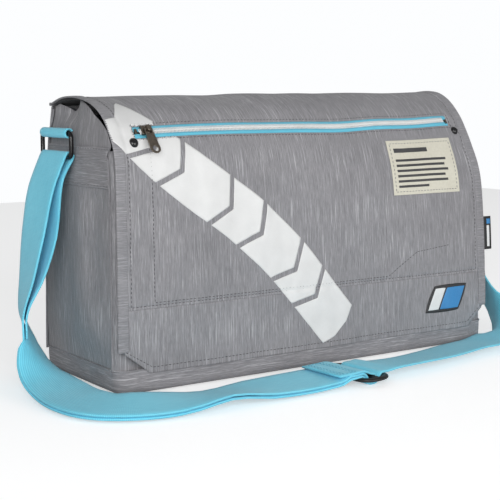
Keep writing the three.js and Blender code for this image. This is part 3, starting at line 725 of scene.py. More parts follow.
def make_flap_panel():
    def in_slot(x, s):
        return ZIP_LEFT < x < ZIP_RIGHT and abs(s - S_ZIP) < SLOT_HALF
    edge = HALF - STRIP + 1
    slot = (S_ZIP - SLOT_HALF, S_ZIP + SLOT_HALF)
    stitched = HALF - SIDE_STITCH
    grooves = [sign * stitched + d for sign in (-1, 1) for d in (-1.3, -0.6, 0, 0.6, 1.3)]
    us = lines(-edge, edge, 3.2, also=(ZIP_LEFT, ZIP_RIGHT, ZIP_LEFT - 0.6, ZIP_RIGHT + 0.6, *grooves))
    grooves = [S_SEAM - SEAM_STITCH + d for d in (-1.4, -0.7, 0, 0.7)]
    vs = lines(S_START, S_SEAM, 3.0, also=(*slot, slot[0] - 0.6, slot[1] + 0.6, *grooves))
    sheet_piece(
        "flap_panel", BOTH, "fabric_grey", us, vs, flap, FABRIC, skip=in_slot,
        stands_for=("flap_top_panel", "flap_front_panel"),
    )


def make_lower_band():
    us = lines(0, 100, 1.2)
    vs = lines(S_SEAM - 0.2, S_HEM, 2.5)

    def surface(u, s, height):
        inset = STRIP * (1 - smooth((s - S_CHAMFER) / 4))
        left = -HALF + inset + CHAMFER_LEFT * chamfer(s)
        right = HALF - inset - CHAMFER_RIGHT * chamfer(s)
        return flap(lerp(left, right, u / 100), s, height + 0.25)

    piece = sheet_piece(
        "flap_lower_band", "flap_front", "fabric_grey", us, vs, surface, FABRIC + 0.2,
        stands_for=("flap_lower_band",),
    )
    recloth(piece, lambda point, old: (point.x, old[1] + OTHER_CLOTH))


def make_edge_strips():
    for side, sign in (("left", -1), ("right", 1)):
        inner, outer = sign * (HALF - STRIP), sign * HALF
        us = lines(min(inner, outer), max(inner, outer), 1.6)
        vs = lines(S_START, S_CHAMFER + 3, 3.0)

        def surface(x, s, height):
            crown = 0.35 * math.sin(math.pi * clamp((abs(x) - HALF + STRIP) / STRIP))
            return flap(x, s, height + STRIP_LIFT + crown)

        sheet_piece(
            f"flap_edge_{side}", BOTH, "band_grey", us, vs, surface, FABRIC + 0.4,
            stands_for=(f"flap_edge_{side}",),
        )


def make_flap_lining():
    us = lines(-HALF + 1.5, HALF - 1.5, 8)
    vs = lines(S_START + 3, S_HEM - 1.5, 5)

    def surface(x, s, height):
        limit_left = -HALF + 1.5 + CHAMFER_LEFT * chamfer(s)
        limit_right = HALF - 1.5 - CHAMFER_RIGHT * chamfer(s)
        x = clamp(x, limit_left, limit_right)
        edge = min(x - limit_left, limit_right - x, S_HEM - s, s - S_START)
        return flap(x, s, height - lerp(1.4, 3.0, smooth(edge / 14)))

    sheet_piece(
        "flap_lining", BOTH, "lining", us, vs, surface, 0.7,
        stands_for=("flap_top_lining", "flap_front_lining"),
    )


def make_zip_pocket():
    us = lines(-176, 176, 9)
    vs = lines(S_ZIP - SLOT_HALF - 5, S_SEAM - 3, 6)
    sheet_piece(
        "zip_pocket", "flap_front", "lining", us, vs, lambda x, s, h: flap(x, s, h - 1.75), 0.6,
        stands_for=("zip_pocket_lining",),
    )


def make_flap_stitching():
    surface = on_flap()
    side = HALF - SIDE_STITCH
    routes = []
    for x in (-side, side):
        routes.append(((x, S_START + 6), (x, S_SEAM - 2)))
        routes.append(((x, S_SEAM + 2), (x, S_CHAMFER)))
    top, bottom = S_ZIP - SLOT_HALF - 2.2, S_ZIP + SLOT_HALF + 2.2
    left, right = ZIP_LEFT - 2.2, ZIP_RIGHT + 2.2
    routes += [((left, top), (right, top)), ((left, bottom), (right, bottom))]
    routes += [((left, top), (left, bottom)), ((right, top), (right, bottom))]
    pocket = [(-175, bottom + 1)]  # the seam that closes the pocket behind the flap
    pocket += [(x, S_SEAM - above) for x, above in ((-175, 5), (82, 5), (118, 26), (160, 30))]
    routes += zip(pocket, pocket[1:])
    routes.append(((-side, S_SEAM - SEAM_STITCH), (side, S_SEAM - SEAM_STITCH)))
    stitch_lines("flap_stitching", BOTH, routes, surface)
    band = on_flap(0.25)
    hem = S_HEM - 5
    left, right = -HALF + CHAMFER_LEFT, HALF - CHAMFER_RIGHT
    routes = [((left + 2, hem), (right - 2, hem))]
    routes.append(((-HALF + 6, S_CHAMFER + 2), (left + 2, hem)))
    routes.append(((right - 2, hem), (HALF - 6, S_CHAMFER + 2)))
    stitch_lines("hem_stitching", "flap_front", routes, band)


# ---- zip ----
COIL_HALF = 2.8
TOOTH_PITCH = 1.45


def make_zip():
    for name, near, far in (("upper", -SLOT_HALF - 1.5, -0.9), ("lower", 0.9, SLOT_HALF + 1.5)):
        us = lines(ZIP_LEFT - 1, ZIP_RIGHT + 1, 5)
        vs = [S_ZIP + lerp(near, far, k / 7) for k in range(8)]

        def surface(x, s, height):
            sink = 0.9 + 0.35 * smooth((abs(s - S_ZIP) - 4.8) / 2.2)
            cord = 0.3 * bump(abs(s - S_ZIP) - 3.4, 0.7)
            return flap(x, s, height - sink + cord)

        sheet_piece(
            f"zip_tape_{name}", "flap_front", "zip_tape", us, vs, surface, 0.5,
            stands_for=(f"zip_tape_{name}",),
        )
    make_teeth()


def make_teeth():
    """Two rows of coil turns that mesh in the middle of the zip."""
    vertices, cloth, faces = [], [], []
    first, last = ZIP_LEFT + 5, ZIP_RIGHT - 5
    rings, sides = 6, 8
    for k in range(int((last - first) / TOOTH_PITCH)):
        for row, sign in enumerate((-1, 1)):
            x = first + (k + 0.5 * row) * TOOTH_PITCH
            point, along, down, out = flap_frame(x, S_ZIP, 0)
            faces += tube_faces(len(vertices), rings, sides, flipped=sign < 0)
            for r in range(rings):
                t = r / (rings - 1)
                reach = sign * lerp(-0.45, COIL_HALF, t)
                centre = point + down * reach + out * (0.62 - 0.3 * abs(2 * t - 1) ** 3)
                size = 0.42 * (1.25 if t < 0.3 else 1.0) * (0.55 if r in (0, rings - 1) else 1)
                for a, b in circle(size, sides):
                    vertices.append(centre + along * a + out * (1.15 * b))
                    cloth.append((x, reach, 0))
    finish_piece("zip_coil", vertices, faces, "flap_front", "zip_coil", cloth, stands_for=("zip_coil",))


# ---- body ----
BASE_TOP = 21.0
BACK_PROFILE = [(HINGE_Y, HINGE_Z - 1.4), (57, 205), (63, 150), (67, 80), (69, 21.4)]
FRONT_DEPTH = 6.8
CORNER = 5.0


def offset_line(x, depth, samples=60):
    """(z, y) pairs of the flap's ruled shape at x, moved inwards."""
    made = []
    for i in range(samples + 1):
        station = lerp(3.6, HEM, i / samples)
        y0, z0 = flap_line(max(station - 0.02, 0), x)
        y1, z1 = flap_line(min(station + 0.02, HEM), x)
        y, z = flap_line(station, x)
        length = math.hypot(y1 - y0, z1 - z0)
        made.append((z + (y1 - y0) / length * depth, y - (z1 - z0) / length * depth))
    return made[::-1]


def table_value(table, key):
    if key <= table[0][0]:
        return table[0][1]
    for (k0, v0), (k1, v1) in zip(table, table[1:]):
        if key <= k1:
            return lerp(v0, v1, (key - k0) / max(k1 - k0, 1e-6))
    return table[-1][1]


FRONT_TABLES = (offset_line(-HALF, FRONT_DEPTH), offset_line(HALF, FRONT_DEPTH))
UPPER_TABLES = (offset_line(-HALF, 2.5), offset_line(HALF, 2.5))


def across_flap(x, samples=60):
    """(-y, z) pairs of the flap's ruled shape at x, from the hinge to the front."""
    places = [flap_line(5.4 * i / samples, x) for i in range(samples + 1)]
    return [(-y, z) for y, z in places]


FLAP_TABLES = (across_flap(-HALF), across_flap(HALF))
BACK_TABLE = [(spline(BACK_PROFILE, 4 - i / 10)[1], spline(BACK_PROFILE, 4 - i / 10)[0]) for i in range(41)]


def front_y(x, z):
    share = (x + HALF) / (2 * HALF)
    return lerp(table_value(FRONT_TABLES[0], z), table_value(FRONT_TABLES[1], z), share)


def back_y(z):
    return table_value(BACK_TABLE, z)


def side_bulge(sign, y, z):
    """How far a side panel stands out: full low down, drawn in at the seams, with soft upright folds."""
    front, back = front_y(sign * HALF, z), back_y(z)
    across = clamp((y - front) / (back - front))
    inside = math.sin(math.pi * across)
    tall = smooth((z - BASE_TOP) / 35) * (1 - smooth((z - 150) / 50))
    full = 4.5 * inside * tall
    upright = 2.2 * math.sin(across * 9 + 0.5 * sign + 1.6 * wave_noise(z / 70, y / 50, 6)) * inside * tall
    crease = -3.0 * bump(across - 0.22, 0.09) * smooth((z - 60) / 50) * (1 - smooth((z - 160) / 12))
    soft = 1.1 * wave_noise(y / 22, z / 38, 7 + sign) * (1 - smooth((z - 205) / 12))
    return full + (upright + crease) * (1 if sign < 0 else 0.7) + soft * inside


def tuck_in(sign, y, z):
    """How far the top of a side is folded inwards, over the strap's tab."""
    return (7 if sign < 0 else 4) * bump(y - 16, 15) * smooth((z - 221) / 13)


def under_flap(sign, y):
    """Height of the flap's underside above a side panel, at a place from front to back."""
    table = FLAP_TABLES[0 if sign < 0 else 1]
    return table_value(table, -y)


def side_top(sign, y):
    """Height of a side panel's upper edge: close under the flap, with one dip where the cloth folds in."""
    dip = 11 * max(0.0, 1 - abs(y - 16) / 24) if sign < 0 else 5 * max(0.0, 1 - abs(y - 10) / 24)
    return under_flap(sign, y) - 2.4 - dip


SIDE_X = HALF - 0.2
SIDE_BACK_TOP, SIDE_FRONT_TOP = 49.0, -57.0
SIDE_BAND = (172.0, 206.0)


def side_height(sign, across, v):
    return lerp(BASE_TOP - 1, side_top(sign, lerp(SIDE_FRONT_TOP, SIDE_BACK_TOP, across)), v)


def side_surface(sign):
    """A point on a side panel, by its share from front to back and its height."""
    tables = [each[0 if sign < 0 else 1] for each in (FRONT_TABLES, UPPER_TABLES)]

    def surface(across, z, height):
        low_z = min(z, 232)
        front = lerp(table_value(tables[0], low_z), table_value(tables[1], low_z), smooth((z - 196) / 14))
        front += lerp(CORNER, 0.2, smooth((z - 198) / 10))
        back = back_y(z) - CORNER
        y = lerp(front, back, across)
        lean = 2.5 * smooth((z - 212) / 20)
        fold = tuck_in(sign, y, z)
        x = SIDE_X + side_bulge(sign, y, z) - lean - fold + height
        return Vector((sign * x, y, z))
    return surface


def make_sides():
    for side, sign in (("left", -1), ("right", 1)):
        us = sorted((k / 44 for k in range(45)), reverse=sign < 0)
        place = side_surface(sign)
        vs = [k / 70 for k in range(70, -1, -1)]
        panel = sheet_piece(
            f"side_panel_{side}", "bag", "fabric_grey", us, vs,
            lambda u, v, h, place=place, sign=sign: place(u, side_height(sign, u, v), h), 1.3,
            stands_for=(f"side_panel_{side}",),
        )
        recloth(panel, hung_facing_side)
        make_side_band(side, sign)


def make_side_band(side, sign):
    below = side_surface(sign)

    def surface(across, z, height):
        return below(across, z, height + 1.0)

    us = [k / 40 for k in range(41)]
    us = us if sign > 0 else us[::-1]
    vs = lines(*SIDE_BAND, 2.5)[::-1]
    band = sheet_piece(
        f"side_band_{side}", "bag", "band_grey", us, vs, surface, 0.9, stands_for=(f"side_band_{side}",),
    )
    recloth(band, hung_facing_side)

    def place(across, z):
        return surface(across, z, 0), Vector((sign, 0, 0))

    levels = (SIDE_BAND[0] + 2, SIDE_BAND[1] - 2)
    routes = [((k / 8, z), ((k + 1) / 8, z)) for z in levels for k in range(8)]
    name = f"side_band_stitching_{side}"
    stitch_lines(name, "bag", routes, place, material="thread", measured=True)


def wrap_surface(face_y, normal_sign, wrinkle):
    """A front or back panel whose ends turn round the body's upright corners."""
    flat_half = SIDE_X - CORNER

    def surface(u, z, height):
        bend = clamp((abs(u) - flat_half) / (CORNER * math.pi / 2)) * math.pi / 2
        side = math.copysign(1, u)
        x = min(abs(u), flat_half) + math.sin(bend) * (CORNER + height)
        inward = CORNER - math.cos(bend) * (CORNER + height)
        y = face_y(side * min(abs(u), HALF), z) - normal_sign * inward
        y += normal_sign * wrinkle(u, z) * (1 - bend / (math.pi / 2))
        return Vector((side * x, y, z))

    reach = flat_half + CORNER * math.pi / 2
    return surface, reach


def make_front():
    def wrinkle(x, z):
        return 1.0 * wave_noise(x / 60, z / 60, 11) + 0.5 * wave_noise(x / 20, z / 30, 12)

    surface, reach = wrap_surface(front_y, -1, wrinkle)
    top = 203.0
    panel = sheet_piece(
        "front_panel", "bag", "fabric_grey", lines(-reach, reach, 6),
        lines(BASE_TOP - 1, top, 5)[::-1], surface, 1.2, stands_for=("front_panel",),
    )
    recloth(panel, hung_facing_front)


def make_back():
    def wrinkle(x, z):
        middle = math.cos(x / 150) * 3 * math.sin(math.pi * clamp((z - 20) / 215))
        return middle + 1.8 * wave_noise(x / 80, z / 70, 14) + 0.6 * wave_noise(x / 25, z / 35, 15)

    surface, reach = wrap_surface(lambda _, z: back_y(z), 1, wrinkle)
    us = lines(-reach, reach, 6)[::-1]
    panel = sheet_piece(
        "back_panel", "bag", "fabric_grey", us, lines(BASE_TOP - 1, HINGE_Z - 1.2, 5)[::-1], surface, 1.2,
        stands_for=("back_panel",),
    )
    recloth(panel, hung_facing_front)


def perimeter(radius, half_x, front, back, arc=7, step=9.0):
    """Points (x, y, normal x, normal y, distance) round a rounded rectangle, starting at the front's left."""
    made, travelled = [], 0.0
    corners = [
        (half_x - radius, front + radius, -90), (half_x - radius, back - radius, 0),
        (-half_x + radius, back - radius, 90), (-half_x + radius, front + radius, 180),
    ]
    outline = []
    for cx, cy, start in corners:
        for k in range(arc + 1):
            angle = math.radians(start + 90 * k / arc)
            nx, ny = math.cos(angle), math.sin(angle)
            outline.append((cx + radius * nx, cy + radius * ny, nx, ny))
    for k, point in enumerate(outline):
        following = outline[(k + 1) % len(outline)]
        length = math.dist(point[:2], following[:2])
        pieces = max(1, round(length / step))
        for i in range(pieces):
            t = i / pieces
            made.append(tuple(lerp(a, b, t) for a, b in zip(point, following)) + (travelled + length * t,))
        travelled += length
    return made


def make_base():
    ring = perimeter(11, HALF, -69.5, 69.5)
    turn = 9.0  # radius where the band turns under the base
    profile = [(0.0, BASE_TOP + 0.6), (0.3, BASE_TOP - 1), (0.4, 17), (0.3, 13), (0.0, turn)]
    for k in range(1, 7):
        angle = math.pi / 2 * k / 6
        profile.append((-turn * (1 - math.cos(angle)), turn * (1 - math.sin(angle)) + 0.25 * math.sin(angle)))
    profile.append((-turn - 6, 0.25))
    count = len(ring)

    def surface(u, v, height):
        x, y, nx, ny, _ = ring[int(u) % count]
        k = int(clamp(math.floor(v), 0, len(profile) - 2))
        out, z = (lerp(a, b, v - k) for a, b in zip(profile[k], profile[k + 1]))
        puff = 0.8 * wave_noise(x / 30, y / 30 + z / 25, 17) * bump(z - 13, 8)
        rounding = clamp((turn - z) / turn)
        out += puff + height * (1 - rounding)
        return Vector((x + nx * out, y + ny * out, z - height * rounding if z < turn else z))

    us = list(range(count))
    vs = [k / 2 for k in range(2 * (len(profile) - 1) + 1)]
    band = sheet_piece(
        "base_band", "bag", "band_grey", us, vs, surface, 1.2, closed=True, stands_for=("base_band",),
    )
    recloth(band, lambda _, old: (ring[round(old[0] / MM) % count][4] * MM, 2 * old[1]))

    def bottom(u, v, height):
        return Vector((u, v, 1.5 + height))

    plate = sheet_piece(
        "base_panel", "bag", "band_grey", lines(-HALF + 13, HALF - 13, 8), lines(-56, 56, 6)[::-1],
        bottom, 1.3, stands_for=("base_panel",),
    )
    plate.data.flip_normals()


def corner_seam(name, sign, facing):
    """The turned seam down an upright corner of the body, from its top to the base band."""
    frames = []
    steps = 60
    top = 198 if facing < 0 else 236
    for k in range(steps + 1):
        z = lerp(top, BASE_TOP - 1, k / steps)
        if facing < 0:
            y = front_y(sign * HALF, z) + CORNER - 0.6
        else:
            y = back_y(z) - CORNER + 0.6
        x = sign * (SIDE_X + 0.4 + 0.25 * wave_noise(z / 14, y, 18))
        x -= sign * 2.5 * smooth((z - 212) / 20)
        frames.append((Vector((x, y, z)), Vector((sign, 0, 0)), Vector((0, 1, 0))))
    swept(name, "bag", "band_grey", frames, round_section(1.0, 8))


def make_seams():
    for side, sign in (("left", -1), ("right", 1)):
        corner_seam(f"front_seam_{side}", sign, -1)
        corner_seam(f"back_seam_{side}", sign, 1)
    ring = perimeter(11, HALF, -69.5, 69.5)
    frames = []
    for x, y, nx, ny, _ in ring + ring[:1]:
        point = Vector((x + nx * 0.2, y + ny * 0.2, BASE_TOP + 0.4))
        frames.append((point, Vector((nx, ny, 0)), Vector((0, 0, 1))))
    swept("base_seam", "bag", "band_grey", frames, round_section(0.8, 8), closed_ends=False)


def make_lining():
    front_top, back_top = 202.0, 230.0
    ring = perimeter(9, HALF - 4.5, -64, 64, step=7)
    count = len(ring)
    levels = 34

    def surface(u, v, height):
        x, across, nx, ny, _ = ring[int(u) % count]
        end_top = side_top(-1 if x < 0 else 1, clamp(across, -56, 48)) - 2
        top = front_top if ny < -0.3 else (end_top if abs(nx) > 0.5 else back_top)
        z = lerp(7, top, v)
        sheer = smooth((v - 0.92) / 0.08)
        inset = lerp(3.6, 1.6, sheer)
        front = front_y(x, min(z, 222)) + inset
        back = back_y(z) - inset - 3.2 * (1 - smooth((z - 212) / 14))
        y = lerp(front, back, (across / 64 + 1) / 2)
        wave = 0.8 * wave_noise(x / 30 + y / 40, z / 40, 20) * smooth(v / 0.1) * (1 - sheer)
        foot = 5 * (1 - smooth(v / 0.04))
        push = wave - foot + height
        folded = abs(nx) * 1.3 * tuck_in(-1 if x < 0 else 1, y, z + 6)
        return Vector((x + nx * (push - folded), y + ny * push, z))

    us = list(range(count))
    vs = [1 - k / levels for k in range(levels + 1)]
    lining = sheet_piece(
        "body_lining", "bag", "lining", us, vs, surface, 0.7, closed=True, stands_for=("body_lining",),
    )
    recloth(lining, lambda point, _: (point.x + point.y, -point.z))
    floor = sheet_piece(
        "lining_floor", "bag", "lining", lines(-HALF + 8, HALF - 8, 10), lines(-58, 57, 8)[::-1],
        lambda u, v, h: Vector((u, v, 7.4 + h + 0.5 * wave_noise(u / 40, v / 30, 22))), 0.7,
    )
    floor.data.flip_normals()


def make_inner_pocket():
    low, high = node_box("inner_pocket")

    def surface(u, z, height):
        share = (u - low.x) / (high.x - low.x)
        up = clamp((z - low.z) / (high.z - low.z))
        belly = 1.5 * math.sin(math.pi * share) * math.sin(math.pi * up * 0.8)
        edge = smooth(min(u - low.x, high.x - u, z - low.z) / 7)
        y = lerp(high.y - 0.6, low.y + 0.8, edge) - belly
        return Vector((u, y - height, z))

    us, vs = lines(low.x, high.x, 6), lines(low.z, high.z, 5)[::-1]
    sheet_piece("inner_pocket", "bag", "lining", us, vs, surface, 0.7, stands_for=("inner_pocket",))


def make_fasteners():
    for side in ("left", "right"):
        for kind, height, body in (("hook", -3.9, "flap_front"), ("loop", -5.6, "bag")):
            name = f"{kind}_strip_{side}"
            low, high = node_box(name)
            s0, s1 = distance_of(SEAM + 0.2), distance_of(SEAM + 0.66)
            sheet_piece(
                name, body, "hook_loop", lines(low.x, high.x, 3), lines(s0, s1, 3),
                lambda x, s, h, lift=height: flap_calm(x, s, h + lift), 0.9, stands_for=(name,),
            )


def flap_calm(x, s, height):
    """The flap's shape with its ripple left out."""
    return flap(x, s, height - ripple(x, s))


# ---- strap ----
TAB_X, TAB_Y, TAB_Z = HALF + 7, 22.0, 216.0
RING_DROP = 20.0
RING_FOOT_Z = TAB_Z - RING_DROP
WEBBING_WIDTH, WEBBING = 50.0, 1.6
# the middle of the strap, and the direction across it
STRAP_ROUTE = [
    (-TAB_X, TAB_Y, RING_FOOT_Z, 0, 1, 0),
    (-230, TAB_Y, 172, 0, 1, 0),
    (-239, TAB_Y, 132, 0.05, 1, 0),
    (-247, 20, 92, 0.2, 1, 0),
    (-254, 16, 60, 0.35, 0.92, -0.1),
    (-250, 9, 34, 0.55, 0.55, -0.35),
    (-250, -17, 15, 0.88, 0.22, -0.1),
    (-251, -50, 8, 1, 0, 0.02),
    (-251, -82, 7, 0.96, 0.25, 0.08),
    (-243, -108, 7, 0.8, 0.6, 0.1),
    (-223, -123, 7.5, 0.5, 0.86, 0.12),
    (-192, -130, 7, 0.15, 0.98, 0.06),
    (-150, -131, 7.5, -0.04, 0.97, -0.14),
    (-110, -131, 6.5, 0, 1, 0.02),
    (-72, -131, 6.5, 0, 1, 0.06),
    (-42, -130, 7.5, 0, 1, 0.04),
    (-8, -127, 10, 0, 1, 0),
    (24, -125, 9, -0.05, 1, -0.08),
    (62, -122, 8, -0.1, 1, -0.12),
    (105, -114, 7, -0.2, 0.98, -0.1),
    (148, -105, 7.5, -0.25, 0.96, -0.1),
    (185, -102, 9, -0.2, 0.96, -0.08),
    (216, -90, 16, 0.1, 0.95, -0.1),
    (231, -64, 32, 0.45, 0.75, -0.3),
    (234, -38, 58, 0.5, 0.8, -0.3),
    (235, -8, 96, 0.3, 0.95, -0.2),
    (234, 14, 142, 0.05, 1, 0),
    (229, TAB_Y, 178, 0, 1, 0),
    (TAB_X, TAB_Y, RING_FOOT_Z, 0, 1, 0),
]
ROUTE_LAST = len(STRAP_ROUTE) - 1
ROUTE_STEP = 0.34  # the webbing's own points along the route
ADJUSTER_AT = 16


def centripetal(points, index):
    """The centripetal Catmull-Rom spline through the points, at a fractional index."""
    last = len(points) - 1
    k = int(clamp(math.floor(index), 0, last - 1))
    t = index - k
    p1, p2 = points[k], points[k + 1]
    p0 = points[k - 1] if k > 0 else p1 * 2 - p2
    p3 = points[k + 2] if k + 2 <= last else p2 * 2 - p1
    d0, d1, d2 = (max((b - a).length_squared ** 0.25, 1e-4) for a, b in ((p0, p1), (p1, p2), (p2, p3)))
    m1 = ((p1 - p0) / d0 - (p2 - p0) / (d0 + d1) + (p2 - p1) / d1) * d1
    m2 = ((p2 - p1) / d1 - (p3 - p1) / (d1 + d2) + (p3 - p2) / d2) * d1
    a = p1 * 2 - p2 * 2 + m1 + m2
    b = p1 * -3 + p2 * 3 - m1 * 2 - m2
    return a * t ** 3 + b * t ** 2 + m1 * t + p1


ROUTE_POINTS = [Vector(row[:3]) for row in STRAP_ROUTE]
ROUTE_ACROSS = [Vector(row[3:]) for row in STRAP_ROUTE]


def strap_frame(index):
    step = 0.01
    before = centripetal(ROUTE_POINTS, max(index - step, 0))
    after = centripetal(ROUTE_POINTS, min(index + step, ROUTE_LAST))
    tangent = (after - before).normalized()
    across = centripetal(ROUTE_ACROSS, index)
    across = (across - tangent * across.dot(tangent)).normalized()
    return centripetal(ROUTE_POINTS, index), tangent, across, tangent.cross(across)


def beside_strap(index, lift, shift=0.0):
    point, tangent, across, inward = strap_frame(index)
    return point + inward * lift + tangent * shift, across


STRAND = 1.45  # a strand's distance from the route where two lie together
BAR_CLEAR = 3.9  # its distance from the middle of a ring's bar
BAR_LIFT = -3.45  # height of the adjuster's middle bar
SEWN_TURN = (4.2, 3.2)
# places along the strap and heights above it, measured at the adjuster
SEWN_TAIL = [(-38, 3.3), (-26, 3.3), (-18, 3.2), (-12, 3.4), (-6, 2.2), (-2.5, 0.4)]
SEWN_RETURN = [(-4.6, -5.4), (-6.6, -1.6), (-9.3, 0.9), (-12.5, 1.3), (-19, 1.1), (-26, STRAND)]
THREADED = [
    (-26, -STRAND), (-19, -1.1), (-14, -0.9), (-11, -1.2), (-9, -3.2), (-7.5, -5.8), (-4.5, -8.2),
    (0, -8.8), (4.5, -8.2), (7.5, -4.4), (10.5, -1.2), (13, -0.7), (16, -0.8), (19, -0.9), (26, -0.6),
]


def spread(index, ring):
    return lerp(BAR_CLEAR, STRAND, min(1, abs(index - ring) / 0.8))


def slack(index):
    """How far the inner strand hangs clear of the outer one, between the left ring and the floor."""
    return 8.5 * math.sin(math.pi * clamp(index / 4.2)) ** 2


def round_bar(index, radius, start, end, back):
    steps = 6
    angles = [lerp(start, end, i / steps) for i in range(1, steps)]
    return [beside_strap(index, radius * math.cos(a), back * radius * math.sin(a)) for a in angles]


def frange(start, stop, step):
    value = start
    while (value < stop) if step > 0 else (value > stop):
        yield value
        value += step


def webbing_path():
    """From the sewn tail round the adjuster's bar to the left ring, and back to the right ring."""
    path = [beside_strap(ADJUSTER_AT, lift, along) for along, lift in SEWN_TAIL]
    for i in range(9):
        angle = lerp(math.pi / 2, -math.pi / 2, i / 8)
        along, lift = SEWN_TURN[0] * math.cos(angle), BAR_LIFT + SEWN_TURN[1] * math.sin(angle)
        path.append(beside_strap(ADJUSTER_AT, lift, along))
    path += [beside_strap(ADJUSTER_AT, lift, along) for along, lift in SEWN_RETURN]
    for index in frange(ADJUSTER_AT - 1, 0.3, -ROUTE_STEP):
        path.append(beside_strap(index, spread(index, 0) + slack(index)))
    path += round_bar(0, BAR_CLEAR, 0, math.pi, -1)
    for index in frange(ROUTE_STEP, ADJUSTER_AT - 1, ROUTE_STEP):
        path.append(beside_strap(index, -spread(index, 0)))
    path += [beside_strap(ADJUSTER_AT, lift, along) for along, lift in THREADED]
    for index in frange(ADJUSTER_AT + 1.2, ROUTE_LAST - 0.3, ROUTE_STEP):
        swing = clamp((index - ROUTE_LAST + 2.6) / 1.2)
        path.append(beside_strap(index, -lerp(0, spread(index, ROUTE_LAST), swing)))
    path += round_bar(ROUTE_LAST, BAR_CLEAR, math.pi, 0, 1)
    for index in frange(ROUTE_LAST - ROUTE_STEP, ROUTE_LAST - 1.9, -ROUTE_STEP):
        path.append(beside_strap(index, spread(index, ROUTE_LAST)))
    return path


def webbing_section(width, thickness, segments=10):
    """A flat section with rounded selvedges."""
    half, thin = width / 2, thickness / 2
    top = [(lerp(half - 0.5, -half + 0.5, k / segments), thin) for k in range(segments + 1)]
    half_section = top + [(-half, thin * 0.45), (-half, -thin * 0.45)]
    return half_section + [(-a, -b) for a, b in half_section]


def strap_frames(subdivide=3):
    path = webbing_path()
    points = [p for p, _ in path]
    frames = []
    last = len(path) - 1
    dense = []
    for k in range(last):
        for i in range(subdivide):
            t = k + i / subdivide
            dense.append((centripetal(points, t), path[k][1].lerp(path[k + 1][1], i / subdivide)))
    dense.append((points[-1], path[-1][1]))
    for k, (point, across) in enumerate(dense):
        tangent = (dense[min(k + 1, len(dense) - 1)][0] - dense[max(k - 1, 0)][0]).normalized()
        across = (across - tangent * across.dot(tangent)).normalized()
        frames.append((point, across, tangent.cross(across)))
    return frames


def make_strap():
    frames = strap_frames()
    section = webbing_section(WEBBING_WIDTH, WEBBING)[::-1]
    swept("strap_webbing", "strap", "webbing", frames, section, stands_for=("strap_webbing",))
    make_adjuster()
    for side, sign in (("left", -1), ("right", 1)):
        make_ring(side, sign)
        make_tab(side, sign)


def rounded_loop(half_a, half_b, radius, per_corner=8):
    """Points and outward normals round a rounded rectangle, for a bent bar."""
    made = []
    inner_a, inner_b = half_a - radius, half_b - radius
    for turn, (sign_a, sign_b) in enumerate(((1, 1), (-1, 1), (-1, -1), (1, -1))):
        for k in range(per_corner + 1):
            angle = math.radians(90 * (turn + k / per_corner))
            a, b = math.cos(angle), math.sin(angle)
            made.append((sign_a * inner_a + radius * a, sign_b * inner_b + radius * b, a, b))
    return made


def ring_mesh(loop, section, place):
    """Sweeps a section round a closed loop; place(a, b, height) gives the point."""
    vertices = [place(a + na * out, b + nb * out, height) for a, b, na, nb in loop for out, height in section]
    return vertices, tube_faces(0, len(loop), len(section), closed=True, capped=False)


def make_ring(side, sign):
    half_y, half_z = WEBBING_WIDTH / 2 + 3, RING_DROP / 2
    loop = rounded_loop(half_y, half_z, 4.5)
    section = round_section(2.0, 14)

    def place(a, b, height):
        return Vector((sign * (TAB_X + height), TAB_Y + a * sign, TAB_Z - RING_DROP / 2 + b))

    vertices, faces = ring_mesh(loop, section, place)
    name = f"strap_ring_{side}"
    finish_piece(name, vertices, faces, "strap", "black_metal", stands_for=(name,))


def make_tab(side, sign):
    """Webbing sewn into the side, looped round the ring's upper bar."""
    frames = []
    radius = 3.6
    steps = 22
    for k in range(steps + 1):
        angle = math.radians(lerp(150, -150, k / steps))
        normal = Vector((sign * math.cos(angle), 0, math.sin(angle)))
        centre = Vector((sign * TAB_X, TAB_Y, TAB_Z)) + normal * radius
        frames.append((centre, Vector((0, 1, 0)), normal))
    section = webbing_section(WEBBING_WIDTH, 1.4)
    section = section if sign < 0 else section[::-1]
    swept(f"tab_loop_{side}", "strap", "webbing", frames, section, stands_for=(f"tab_loop_{side}",))


def make_adjuster():
    point, tangent, across, inward = strap_frame(ADJUSTER_AT)
    half_length, half_width, bar = 17.5, 34.5, 5.6

    def place(a, b, height):
        return point + tangent * a + across * b + inward * (BAR_LIFT + height)

    loop = rounded_loop(half_length - bar / 2, half_width - bar / 2, 12)
    section = [(3.1 * a, 1.8 * b) for a, b in circle(1, 12)]
    vertices, faces = ring_mesh(loop, section[::-1], place)
    steps, reach = 8, half_width - bar * 0.6
    faces += tube_faces(len(vertices), steps + 1, len(section), flipped=True)
    for k in range(steps + 1):
        vertices += [place(out, lerp(-reach, reach, k / steps), height) for out, height in section]
    finish_piece("strap_adjuster", vertices, faces, "strap", "black_plastic", stands_for=("strap_adjuster",))


# ---- marks, rivets, zip hardware ----
def height_at(x, z):
    """Distance down the flap at which its front reaches the height z."""
    low, high = FOLD, HEM
    for _ in range(24):
        middle = (low + high) / 2
        if flap_line(middle, x)[1] > z:
            low = middle
        else:
            high = middle
    return distance_of(low)


PRINT_ROUTE = [(-206, 236), (-172, 205), (-133, 176), (-85, 144), (-40, 105), (25, 31)]
PRINT_CENTRE = [(x, height_at(x, z)) for x, z in PRINT_ROUTE]
PRINT_LENGTH = sum(math.dist(a, b) for a, b in zip(PRINT_CENTRE, PRINT_CENTRE[1:]))
PRINT_HALF = 24.0
PRINT_STEP = 1.4
PRINT_SPANS = (42, 28, 54, 34, 46, 30, 200)
PRINT_GAP = 5.0


